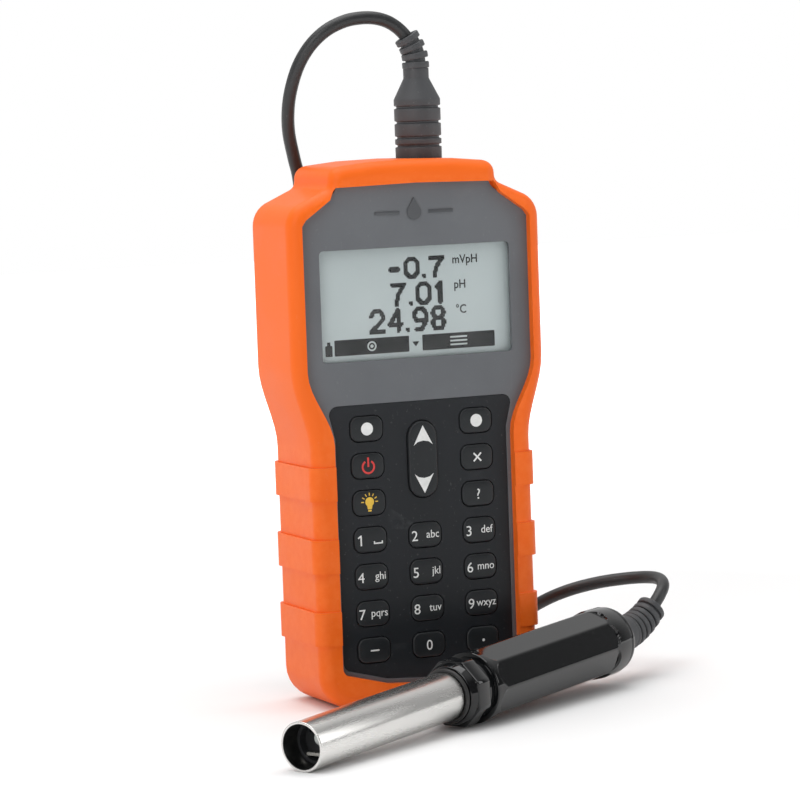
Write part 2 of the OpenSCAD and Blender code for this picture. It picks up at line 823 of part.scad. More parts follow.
module plug_relief() {
    color("#303234") on_socket(relief_z + 0.01) relief_rings(4, 4.6, 4.4, plug_relief_turn);
}

// ---- Cord ----

// Catmull-Rom point between b and c
function spline(a, b, c, d, t) =
    0.5 * (2 * b + (c - a) * t + (2 * a - 5 * b + 4 * c - d) * t * t
        + (3 * b - a - 3 * c + d) * t * t * t);

function smooth_route(route) =
    let (last = len(route) - 1)
    concat([
        for (i = [0 : last - 1]) for (k = [0 : rings_per_span - 1])
            spline(route[max(i - 1, 0)], route[i], route[i + 1], route[min(i + 2, last)],
                k / rings_per_span)
    ], [route[last]]);

function tangent(path, i) = unit(path[min(i + 1, len(path) - 1)] - path[max(i - 1, 0)]);

// Side vectors carried along the path without twist
function sides(path, found) =
    let (i = len(found), t = tangent(path, i), s = found[i - 1])
    i == len(path) ? found : sides(path, concat(found, [unit(s - (s * t) * t)]));

module cord_tube(route) {
    path = smooth_route(route);
    t0 = tangent(path, 0);
    side = sides(path, [unit(cross(t0, [0.2, 1, 0.1]))]);
    loft([for (i = [0 : len(path) - 1])
        let (t = tangent(path, i), u = side[i], v = cross(u, t))
        [for (k = [0 : cord_sides - 1])
            path[i] + cord_d / 2 * (cos(360 * k / cord_sides) * u + sin(360 * k / cord_sides) * v)]
    ]);
}

module cord_upper() {
    color("#1a1a1b") cord_tube(upper_route);
}

module cord_lower() {
    color("#1a1a1b") cord_tube(lower_route);
}

module cord_coil() {
    coil_mid_z = coil_low_z + coil_turns_high * cord_d / 2 + 0.05;
    color("#1a1a1b") translate([coil_centre[0], coil_centre[1], coil_mid_z])
        rotate_extrude($fn = 64) translate([coil_mean_r, 0])
            square([coil_turns_wide * cord_d + 0.2, coil_turns_high * cord_d + 0.1], center = true);
}

// ---- Probe ----

// Places the probe's own frame: +X runs from the tip to the tail
module on_probe() {
    translate(tip_point) rotate([0, -probe_lift, probe_heading]) children();
}

// A round piece along the probe, from x to x + l
module round_x(x, r, l) {
    translate([x, 0, 0]) rotate([0, 90, 0]) cylinder(r = r, h = l);
}

module cone_x(x, r1, r2, l) {
    translate([x, 0, 0]) rotate([0, 90, 0]) cylinder(r1 = r1, r2 = r2, h = l);
}

module probe_sleeve() {
    color("silver") on_probe() difference() {
        union() {
            round_x(0, sleeve_r, sleeve_plain_l);
            round_x(0, sleeve_neck_r, collar_x + sleeve_seated_l);
        }
        round_x(-over, sleeve_bore_r, collar_x + sleeve_seated_l + 2 * over);
    }
}

bulb_y = -2.2;
bulb_z = 1.4;
bulb_r = 2.6;
module probe_core() {
    color("#202224") on_probe() difference() {
        union() {
            round_x(tip_recess, sleeve_bore_r - 0.1, core_l);
            difference() {
                round_x(tip_recess - 3, sleeve_bore_r - 0.1, 3.5);
                round_x(tip_recess - 3 - over, sleeve_bore_r - 1.1, 4);
            }
        }
        translate([0, bulb_y, bulb_z]) round_x(tip_recess - over, bulb_r - 0.4, 13 + over);
        translate([tip_recess - over, 3.2, 3.2]) cube([3 + over, 2.2, 2.2], center = true);
        translate([tip_recess - 0.01, strip_y, strip_z]) cube([6, 5.1, 1.1], center = true);
    }
}

// Glass bulb with its stem
bulb_stem_r = bulb_r - 0.6;
bulb_stem_angle = acos(bulb_stem_r / bulb_r);
module sensor_bulb() {
    color("azure") on_probe() translate([tip_recess - bulb_r + 0.7, bulb_y, bulb_z]) rotate([0, 90, 0])
        rotate_extrude() polygon(concat(
            [for (p = arc(0, 0, bulb_r, -90, bulb_stem_angle, 10)) [max(p[0], 0), p[1]]],
            [[bulb_stem_r, 14], [0, 14]]
        ));
}

strip_y = 1.5;
strip_z = -4;
module temperature_strip() {
    color("silver") on_probe() translate([tip_recess, strip_y, strip_z])
        cube([5, 5, 1], center = true);
}

sleeve_seal_r = 0.75;
module sleeve_seal() {
    color("black") on_probe() translate([collar_x - 0.9, 0, 0]) rotate([0, 90, 0])
        rotate_extrude() translate([sleeve_neck_r + 0.05 + sleeve_seal_r, 0])
            circle(r = sleeve_seal_r, $fn = 24);
}

// Collar: a stepped nut with eight flats that clamps the sleeve in the handle
collar_sides = 8;
module probe_collar() {
    color("#101112") on_probe() difference() {
        union() {
            cone_x(collar_x, sleeve_r + 1.6, sleeve_r + 2.4, 2.5);
            translate([collar_x + 2.5, 0, 0]) rotate([22.5, 0, 0]) rotate([0, 90, 0])
                cylinder(r = handle_r - 0.3, h = collar_l - 5.5, $fn = collar_sides);
            round_x(collar_x + collar_l - 3.2, handle_r - 1.6, 3.15);
        }
        round_x(collar_x - over, sleeve_neck_r + 0.03, 10);
        round_x(collar_x + 8.5, sleeve_r - 0.5, collar_l);
    }
}

// Handle with eight long recessed panels
panel_count = 8;
panel_w = 8.8;
panel_sink = 0.8;
module probe_handle() {
    color("#0d0e0f") on_probe() difference() {
        round_x(handle_x, handle_r, handle_l);
        round_x(handle_x + 3, handle_bore_r, handle_l);
        round_x(handle_x - over, sleeve_r - 0.5, 6);
        for (i = [0 : panel_count - 1]) rotate([360 * (i + 0.5) / panel_count, 0, 0])
            translate([0, 0, handle_r - panel_sink]) {
                translate([handle_x + 7, 0, 0]) cylinder(d = panel_w, h = 5);
                translate([tail_x - 11, 0, 0]) cylinder(d = panel_w, h = 5);
                translate([handle_x + 7, -panel_w / 2, 0]) cube([handle_l - 18, panel_w, 5]);
            }
    }
}

module handle_cap() {
    color("#101112") on_probe() difference() {
        union() {
            round_x(tail_x + 0.01, handle_r - 0.4, cap_t);
            round_x(tail_x - 5, handle_bore_r - 0.1, 6);
        }
        round_x(tail_x - 6, relief_bore_r + 0.1, 20);
    }
}

module probe_board() {
    color("darkgreen") on_probe() translate([handle_x + 8 + 22, 0, 0]) {
        cube([44, 14, 1.6], center = true);
        translate([0, 0, 1.7]) cube([10, 8, 1.8], center = true);
        translate([14, 0, 1.6]) cube([6, 6, 1.6], center = true);
    }
}

module probe_relief() {
    color("#202122") on_probe() translate([tail_x + cap_t + 0.02, 0, 0]) rotate([0, 90, 0]) {
        cylinder(r = probe_relief_r, h = probe_relief_plain_l);
        translate([0, 0, probe_relief_plain_l]) rotate(probe_relief_turn)
            relief_rings(6, probe_relief_r - 0.2, probe_relief_r - 1, probe_relief_turn);
    }
}

boot();
front_housing();
rear_housing();
housing_seal();
display_window();
lcd_panel();
lcd_backlight();
display_frame();
main_board();
board_parts();
board_screws();
keypad_plate();
key_mat();
rocker_cradle();
probe_socket();
socket_insert();
socket_nut();
socket_seal();
case_screws();
batteries();
battery_contacts();
battery_gasket();
key_soft_left();
key_soft_right();
key_power();
key_light();
key_escape();
key_help();
key_1();
key_2();
key_3();
key_4();
key_5();
key_6();
key_7();
key_8();
key_9();
key_minus();
key_0();
key_point();
rocker_key();
battery_cover();
cover_screws();
plug_body();
plug_shell();
plug_pins();
plug_relief();
cord_upper();
cord_coil();
cord_lower();
probe_sleeve();
probe_core();
sensor_bulb();
temperature_strip();
sleeve_seal();
probe_collar();
probe_handle();
handle_cap();
probe_board();
probe_relief();
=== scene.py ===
# Studio scene of a handheld water quality meter with its plug-in probe
import json
import math

import bmesh
import bpy
import numpy as np
from mathutils import Matrix, Vector

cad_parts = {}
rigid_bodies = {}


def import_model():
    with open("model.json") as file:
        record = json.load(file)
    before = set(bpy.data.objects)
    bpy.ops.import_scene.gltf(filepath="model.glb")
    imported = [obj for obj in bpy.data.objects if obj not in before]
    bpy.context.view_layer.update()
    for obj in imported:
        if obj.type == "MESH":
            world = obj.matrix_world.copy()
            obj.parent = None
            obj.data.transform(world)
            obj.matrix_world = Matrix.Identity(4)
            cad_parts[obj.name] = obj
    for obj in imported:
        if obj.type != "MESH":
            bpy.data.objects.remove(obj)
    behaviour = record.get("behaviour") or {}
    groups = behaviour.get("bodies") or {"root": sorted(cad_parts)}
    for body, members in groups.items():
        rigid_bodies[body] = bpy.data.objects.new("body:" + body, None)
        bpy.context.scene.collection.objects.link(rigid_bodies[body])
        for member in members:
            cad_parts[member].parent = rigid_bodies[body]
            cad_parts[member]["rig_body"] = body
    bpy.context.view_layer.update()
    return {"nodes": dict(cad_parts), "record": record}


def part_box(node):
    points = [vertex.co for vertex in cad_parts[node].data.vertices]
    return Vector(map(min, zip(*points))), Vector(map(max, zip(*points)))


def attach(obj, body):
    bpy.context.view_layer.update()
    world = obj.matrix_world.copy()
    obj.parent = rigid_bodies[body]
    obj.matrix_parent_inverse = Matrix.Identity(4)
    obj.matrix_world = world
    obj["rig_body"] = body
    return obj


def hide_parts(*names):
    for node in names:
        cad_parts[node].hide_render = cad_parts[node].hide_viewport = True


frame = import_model()
nodes = frame["nodes"]
scene = bpy.context.scene
mm = 0.001
scene.view_settings.view_transform = "Standard"
print("frame loaded:", len(nodes), "nodes")

# Camera
view = {"azimuth": -24.5, "elevation": 5.05, "roll": 2.06, "distance": 1.204,
        "lens": 157.5, "aim": (-0.00065, 0.1021)}


def shown(name, data):
    thing = bpy.data.objects.new(name, data)
    scene.collection.objects.link(thing)
    return thing


def makeCamera():
    az, el, roll = (math.radians(view[k]) for k in ("azimuth", "elevation", "roll"))
    look = Vector((-math.sin(az) * math.cos(el), math.cos(az) * math.cos(el), -math.sin(el)))
    right = Vector((math.cos(az), math.sin(az), 0))
    up = right.cross(look)
    target = view["aim"][0] * right + Vector((0, 0, view["aim"][1]))
    eye = target - view["distance"] * look
    turnedRight = math.cos(roll) * right - math.sin(roll) * up
    turnedUp = math.sin(roll) * right + math.cos(roll) * up
    data = bpy.data.cameras.new("studioCamera")
    data.lens = view["lens"]
    data.sensor_width = 36
    data.clip_start = 0.05
    data.clip_end = 50
    camera = shown("studioCamera", data)
    turn = Matrix((turnedRight, turnedUp, -look)).transposed().to_4x4()
    camera.matrix_world = Matrix.Translation(eye) @ turn
    scene.camera = camera


makeCamera()
print("camera placed")


# Mesh helpers
def finishMesh(piece, sharpAngle=35, merge=1e-6):
    work = bmesh.new()
    work.from_mesh(piece.data)
    bmesh.ops.remove_doubles(work, verts=work.verts, dist=merge)
    bmesh.ops.recalc_face_normals(work, faces=work.faces)
    work.to_mesh(piece.data)
    work.free()
    piece.data.shade_smooth()
    piece.data.set_sharp_from_angle(angle=math.radians(sharpAngle))


def newPiece(name, points, faces, sharpAngle=35):
    mesh = bpy.data.meshes.new(name)
    mesh.from_pydata([tuple(p) for p in points], [], faces)
    piece = shown(name, mesh)
    finishMesh(piece, sharpAngle)
    return piece


def loftFaces(rings, joinEnds=False):
    # a ring of one point closes the shape there
    points, starts, faces = [], [], []
    for ring in rings:
        starts.append(len(points))
        points += [tuple(p) for p in ring]
    steps = len(rings) if joinEnds else len(rings) - 1
    for a in range(steps):
        b = (a + 1) % len(rings)
        count = max(len(rings[a]), len(rings[b]))
        for i in range(count):
            j = (i + 1) % count
            corner = []
            for ring, k in ((a, i), (a, j), (b, j), (b, i)):
                v = starts[ring] + (k if len(rings[ring]) > 1 else 0)
                if v not in corner:
                    corner.append(v)
            faces.append(corner)
    return points, faces


def loftPiece(name, rings, sharpAngle=35, joinEnds=False):
    return newPiece(name, *loftFaces(rings, joinEnds), sharpAngle)


def softLine(line, radius, steps=3, loop=False):
    # a profile with each of its corners rounded
    out, count = [], len(line)
    for i, p in enumerate(line):
        if not loop and i in (0, count - 1):
            out.append(tuple(p))
            continue
        a, b = Vector(line[i - 1]), Vector(line[(i + 1) % count])
        c = Vector(p)
        toA, toB = a - c, b - c
        cut = min(radius, 0.45 * toA.length, 0.45 * toB.length)
        s, e = c + toA.normalized() * cut, c + toB.normalized() * cut
        for k in range(steps + 1):
            t = k / steps
            out.append(tuple((1 - t) ** 2 * s + 2 * t * (1 - t) * c + t * t * e))
    return out


def around(count, shift=0.0):
    return [2 * math.pi * (k + shift) / count for k in range(count)]


def lathePiece(name, profile, place, sides=96, sharpAngle=35, joinEnds=False):
    # profile holds (along, radius); place carries +X along the axis
    rings = []
    for along, radius in profile:
        if radius < 1e-6:
            rings.append([place @ Vector((along, 0, 0))])
            continue
        rings.append([place @ Vector((along, radius * math.cos(t), radius * math.sin(t)))
                      for t in around(sides)])
    return loftPiece(name, rings, sharpAngle, joinEnds)


def catmull(points, steps):
    pts = [Vector(p) for p in points]
    out = []
    for i in range(len(pts) - 1):
        a, b, c, d = (pts[max(i - 1, 0)], pts[i], pts[i + 1], pts[min(i + 2, len(pts) - 1)])
        for k in range(steps):
            t = k / steps
            out.append(0.5 * (2 * b + (c - a) * t + (2 * a - 5 * b + 4 * c - d) * t * t
                              + (3 * b - a - 3 * c + d) * t ** 3))
    return out + [pts[-1]]


def tubeRings(path, radius, sides):
    rings, side = [], None
    for i, p in enumerate(path):
        t = (path[min(i + 1, len(path) - 1)] - path[max(i - 1, 0)]).normalized()
        side = t.cross(Vector((0.2, 1, 0.1))) if side is None else side - side.dot(t) * t
        side.normalize()
        other = t.cross(side)
        rings.append([p + radius * (math.cos(a) * side + math.sin(a) * other)
                      for a in around(sides)])
    return rings


def meshFrom(piece):
    # the evaluated shape as a plain mesh, with the modifiers gone
    graph = bpy.context.evaluated_depsgraph_get()
    made = bpy.data.meshes.new_from_object(piece.evaluated_get(graph))
    piece.modifiers.clear()
    return made


# Cord
cord = {"diameter": 0.0045, "sides": 20, "stepsPerSpan": 5, "coilSteps": 40,
        "coilCentre": (0.040, 0.084), "coilRadius": 0.02395, "coilLow": 0.0006,
        "laneGap": 0.0001, "coilLift": 0.0023, "coilTurn": 1260, "coilStart": 180,
        "laneIn": (300, 45), "laneOut": (900, 65), "climb": (585, 70)}
upperRoute = [
    (0.012, 0.005, 0.2175), (0.0116, 0.0051, 0.2208), (0.0104, 0.0053, 0.2242),
    (0.0085, 0.0056, 0.227), (0.0058, 0.006, 0.2297), (0.0022, 0.0065, 0.2319),
    (-0.0023, 0.007, 0.2331), (-0.0075, 0.0075, 0.2332), (-0.013, 0.0084, 0.2322),
    (-0.019, 0.01, 0.2293), (-0.0242, 0.012, 0.2243), (-0.0278, 0.0145, 0.2176),
    (-0.0296, 0.0175, 0.2095), (-0.0299, 0.02, 0.202), (-0.0289, 0.0223, 0.1945),
    (-0.0265, 0.0243, 0.186), (-0.0242, 0.026, 0.178), (-0.0222, 0.0285, 0.16),
    (-0.0212, 0.0315, 0.138), (-0.0205, 0.035, 0.112), (-0.019, 0.0385, 0.086),
    (-0.0155, 0.0425, 0.06), (-0.009, 0.048, 0.035), (-0.0005, 0.0545, 0.016),
    (0.0076, 0.062, 0.0063), (0.0124, 0.071, 0.0034), (0.0137, 0.08, 0.0029)]
lowerRoute = [
    (0.087, -0.0135, 0.02225), (0.0892, -0.0128, 0.02435), (0.0925, -0.0111, 0.02725),
    (0.0954, -0.0082, 0.02935), (0.0974, -0.0042, 0.0305), (0.0983, 0.0003, 0.0311),
    (0.0977, 0.0052, 0.0311), (0.0953, 0.0101, 0.0307), (0.0908, 0.0148, 0.03),
    (0.084, 0.019, 0.0289), (0.076, 0.0228, 0.027), (0.0692, 0.0276, 0.024),
    (0.064, 0.0344, 0.0195), (0.0614, 0.043, 0.0136), (0.062, 0.0515, 0.0086),
    (0.065, 0.06, 0.0052), (0.0674, 0.068, 0.005), (0.0674, 0.075, 0.007),
    (0.0665, 0.081, 0.0075)]


def ease(t):
    t = min(max(t, 0), 1)
    return t * t * (3 - 2 * t)


def coilPath():
    # three and a half turns: low outside, low inside, high inside, high outside
    lane = cord["diameter"] + cord["laneGap"]
    outside, inside = cord["coilRadius"] + lane / 2, cord["coilRadius"] - lane / 2
    low = cord["coilLow"] + cord["coilLift"]
    total, path = cord["coilTurn"], []

    def eased(a, key):
        return lane * ease((a - cord[key][0]) / cord[key][1])

    count = int(total / 360 * cord["coilSteps"])
    for i in range(1, count):
        a = total * i / count
        r = outside - eased(a, "laneIn") + eased(a, "laneOut")
        z = low + eased(a, "climb")
        t = math.radians(cord["coilStart"] - a)
        path.append(Vector((cord["coilCentre"][0] + r * math.cos(t),
                            cord["coilCentre"][1] + r * math.sin(t), z)))
    return path


def makeCord():
    path = catmull(upperRoute, cord["stepsPerSpan"]) + coilPath()
    path += list(reversed(catmull(lowerRoute, cord["stepsPerSpan"])))
    rings = tubeRings(path, cord["diameter"] / 2, cord["sides"])
    piece = loftPiece("probeCord", [[path[0]]] + rings + [[path[-1]]], 60)
    length = sum((b - a).length for a, b in zip(path, path[1:]))
    return piece, path, length


cordPiece, cordPath, cordLength = makeCord()
print("cord made: %.3f m" % cordLength)

# Strap round the coil
strap = {"angle": 62, "width": 0.007, "thick": 0.0005, "tail": 0.008}


def makeStrap():
    lane = cord["diameter"] + cord["laneGap"]
    halfW = lane + 0.00008
    low = cord["coilLow"]
    high = low + 2 * lane + 0.0001
    t = math.radians(strap["angle"])
    out = Vector((math.cos(t), math.sin(t), 0))
    along = Vector((-math.sin(t), math.cos(t), 0))
    middle = Vector((*cord["coilCentre"], 0)) + cord["coilRadius"] * out
    loop = softLine([(-halfW, low), (halfW, low), (halfW, high), (-halfW, high)], 0.0022, 4, True)
    centre = Vector((0, (low + high) / 2))
    rings = []
    for side, grow in ((-1, 0), (-1, 1), (1, 1), (1, 0)):
        ring = []
        for x, z in loop:
            d = (Vector((x, z)) - centre).normalized() * strap["thick"] * grow
            ring.append(middle + (x + d.x) * out + Vector((0, 0, z + d.y))
                        + side * strap["width"] / 2 * along)
        rings.append(ring)
    band = loftFaces(rings, True)
    # the loose end lies on top and points outwards
    top = high + strap["thick"]
    tail = [(halfW * 0.2, top), (halfW * 0.9, top + 0.0003), (halfW + 0.001, top + 0.0001),
            (halfW + strap["tail"] * 0.5, top - 0.0012)]
    rows = []
    for x, z in tail:
        rows.append([middle + x * out + Vector((0, 0, z + dz)) + s * strap["width"] / 2 * along
                     for s, dz in ((-1, 0), (1, 0), (1, strap["thick"]), (-1, strap["thick"]))])
    ends = [[sum(r, Vector()) / 4] for r in (rows[0], rows[-1])]
    points, faces = loftFaces([ends[0]] + rows + [ends[1]])
    shift = len(band[0])
    faces = [[v + shift for v in f] for f in faces]
    return newPiece("coilStrap", band[0] + points, band[1] + faces, 50)


coilStrap = makeStrap()


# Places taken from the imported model
sleeveMount = next(m for m in frame["record"]["mounts"] if m["name"] == "sleeve_tip")
probeAxis = -Vector(sleeveMount["axis"]).normalized()
tipPoint = Vector(sleeveMount["pos_m"]) - probeAxis * sleeveMount["dims"]["length_mm"] / 2 * mm
acrossProbe = Vector((0, 0, 1)).cross(probeAxis).normalized()
probePlace = Matrix.Translation(tipPoint) @ Matrix(
    (probeAxis, acrossProbe, probeAxis.cross(acrossProbe))).transposed().to_4x4()


def uprightPlace(node):
    # +X of a lathe turned upwards on a node's own axis, from its foot
    low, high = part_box(node)
    spot = Vector(((low.x + high.x) / 2, (low.y + high.y) / 2, low.z))
    return Matrix.Translation(spot) @ Matrix.Rotation(-math.pi / 2, 4, "Y")


# Shared shader groups
def addGroup(name, inputs, outputs):
    tree = bpy.data.node_groups.new(name, "ShaderNodeTree")
    for label, kind, value in inputs:
        socket = tree.interface.new_socket(label, in_out="INPUT", socket_type=kind)
        if value is not None:
            socket.default_value = value
    for label, kind in outputs:
        tree.interface.new_socket(label, in_out="OUTPUT", socket_type=kind)
    start = tree.nodes.new("NodeGroupInput")
    end = tree.nodes.new("NodeGroupOutput")
    return tree, start, end


def treeNode(tree, kind, values=None, links=None, **settings):
    # one node with its settings, its fixed inputs and the sockets that feed it
    node = tree.nodes.new(kind)
    for key, value in settings.items():
        setattr(node, key, value)
    for label, value in (values or {}).items():
        node.inputs[label].default_value = value
    for label, source in (links or {}).items():
        tree.links.new(source, node.inputs[label])
    return node


def noiseNode(tree, vector, scale, detail=3, roughness=0.6):
    node = treeNode(tree, "ShaderNodeTexNoise", {"Detail": detail, "Roughness": roughness},
                    {"Vector": vector})
    if isinstance(scale, (int, float)):
        node.inputs["Scale"].default_value = scale
    else:
        tree.links.new(scale, node.inputs["Scale"])
    return node.outputs["Fac"]


def mathNode(tree, operation, a, b=None):
    node = tree.nodes.new("ShaderNodeMath")
    node.operation = operation
    for i, value in enumerate((a, b)):
        if value is None:
            continue
        if isinstance(value, (int, float)):
            node.inputs[i].default_value = value
        else:
            tree.links.new(value, node.inputs[i])
    return node.outputs[0]


def rangeNode(tree, value, low, high, toLow=0.0, toHigh=1.0):
    ends = {"From Min": low, "From Max": high, "To Min": toLow, "To Max": toHigh}
    return treeNode(tree, "ShaderNodeMapRange", ends, {"Value": value}).outputs["Result"]


def makeSurfaceGroup():
    # moulding grain, broad uneven patches and fine specks of dust
    tree, start, end = addGroup("surfaceGrain", [
        ("Vector", "NodeSocketVector", None), ("Grain Scale", "NodeSocketFloat", 2500.0),
        ("Patch Scale", "NodeSocketFloat", 40.0), ("Speck Scale", "NodeSocketFloat", 900.0)],
        [("Grain", "NodeSocketFloat"), ("Patches", "NodeSocketFloat"), ("Specks", "NodeSocketFloat")])
    vector = start.outputs["Vector"]
    grain = noiseNode(tree, vector, start.outputs["Grain Scale"], 2, 0.55)
    patches = noiseNode(tree, vector, start.outputs["Patch Scale"], 4, 0.55)
    specks = noiseNode(tree, vector, start.outputs["Speck Scale"], 1, 0.5)
    tree.links.new(grain, end.inputs["Grain"])
    tree.links.new(rangeNode(tree, patches, 0.35, 0.65), end.inputs["Patches"])
    tree.links.new(rangeNode(tree, specks, 0.70, 0.78), end.inputs["Specks"])
    return tree


def makeEdgeGroup():
    # worn, slightly paler edges, broken up by noise
    tree, start, end = addGroup("edgeWear", [
        ("Vector", "NodeSocketVector", None), ("Breakup Scale", "NodeSocketFloat", 300.0)],
        [("Edge", "NodeSocketFloat")])
    geometry = tree.nodes.new("ShaderNodeNewGeometry")
    edge = rangeNode(tree, geometry.outputs["Pointiness"], 0.52, 0.60)
    breakup = noiseNode(tree, start.outputs["Vector"], start.outputs["Breakup Scale"], 3)
    broken = mathNode(tree, "MULTIPLY", edge, rangeNode(tree, breakup, 0.35, 0.65))
    tree.links.new(broken, end.inputs["Edge"])
    return tree


surfaceGroup = makeSurfaceGroup()
edgeGroup = makeEdgeGroup()


def mixColour(tree, factor, a, b):
    node = tree.nodes.new("ShaderNodeMix")
    node.data_type = "RGBA"
    tree.links.new(factor, node.inputs[0])
    for socket, value in ((node.inputs[6], a), (node.inputs[7], b)):
        if isinstance(value, tuple):
            socket.default_value = (*value, 1)
        else:
            tree.links.new(value, socket)
    return node.outputs[2]


def makeMaterial(name, colour, patchColour=None, rough=(0.4, 0.5), grainScale=2500, grainHeight=0.03,
                 patchScale=40, dust=0.0, edge=0.0, edgeColour=(0.6, 0.6, 0.6), metallic=0.0,
                 coat=0.0, specular=0.5, turned=None, grainStretch=(1, 1, 1)):
    material = bpy.data.materials.new(name)
    material.use_nodes = True
    tree = material.node_tree
    shader = tree.nodes["Principled BSDF"]
    where = tree.nodes.new("ShaderNodeTexCoord").outputs["Object"]
    if turned is not None or grainStretch != (1, 1, 1):
        mapping = tree.nodes.new("ShaderNodeMapping")
        tree.links.new(where, mapping.inputs["Vector"])
        if turned is not None:
            mapping.inputs["Rotation"].default_value = turned
        where = mapping.outputs["Vector"]
        stretch = tree.nodes.new("ShaderNodeMapping")
        stretch.inputs["Scale"].default_value = grainStretch
        tree.links.new(where, stretch.inputs["Vector"])
        where = stretch.outputs["Vector"]
    surface = tree.nodes.new("ShaderNodeGroup")
    surface.node_tree = surfaceGroup
    tree.links.new(where, surface.inputs["Vector"])
    surface.inputs["Grain Scale"].default_value = grainScale
    surface.inputs["Patch Scale"].default_value = patchScale
    grain, patches, specks = (surface.outputs[k] for k in ("Grain", "Patches", "Specks"))
    patchColour = patchColour or tuple(min(1, c * 1.12 + 0.004) for c in colour)
    tone = mixColour(tree, patches, colour, patchColour)
    if edge > 0:
        worn = tree.nodes.new("ShaderNodeGroup")
        worn.node_tree = edgeGroup
        tree.links.new(where, worn.inputs["Vector"])
        tone = mixColour(tree, mathNode(tree, "MULTIPLY", worn.outputs["Edge"], edge), tone, edgeColour)
    if dust > 0:
        tone = mixColour(tree, mathNode(tree, "MULTIPLY", specks, dust), tone, (0.75, 0.74, 0.72))
    tree.links.new(tone, shader.inputs["Base Color"])
    uneven = mathNode(tree, "ADD", mathNode(tree, "MULTIPLY", grain, 0.5),
                      mathNode(tree, "MULTIPLY", patches, 0.5))
    tree.links.new(rangeNode(tree, uneven, 0.2, 0.8, rough[0], rough[1]), shader.inputs["Roughness"])
    bump = tree.nodes.new("ShaderNodeBump")
    bump.inputs["Strength"].default_value = 1
    bump.inputs["Distance"].default_value = grainHeight * mm
    tree.links.new(grain, bump.inputs["Height"])
    tree.links.new(bump.outputs["Normal"], shader.inputs["Normal"])
    shader.inputs["Metallic"].default_value = metallic
    shader.inputs["Coat Weight"].default_value = coat
    shader.inputs["Coat Roughness"].default_value = 0.08
    shader.inputs["Specular IOR Level"].default_value = specular
    return material


heading = math.atan2(probeAxis.y, probeAxis.x)
alongProbe = (0, 0, -heading)
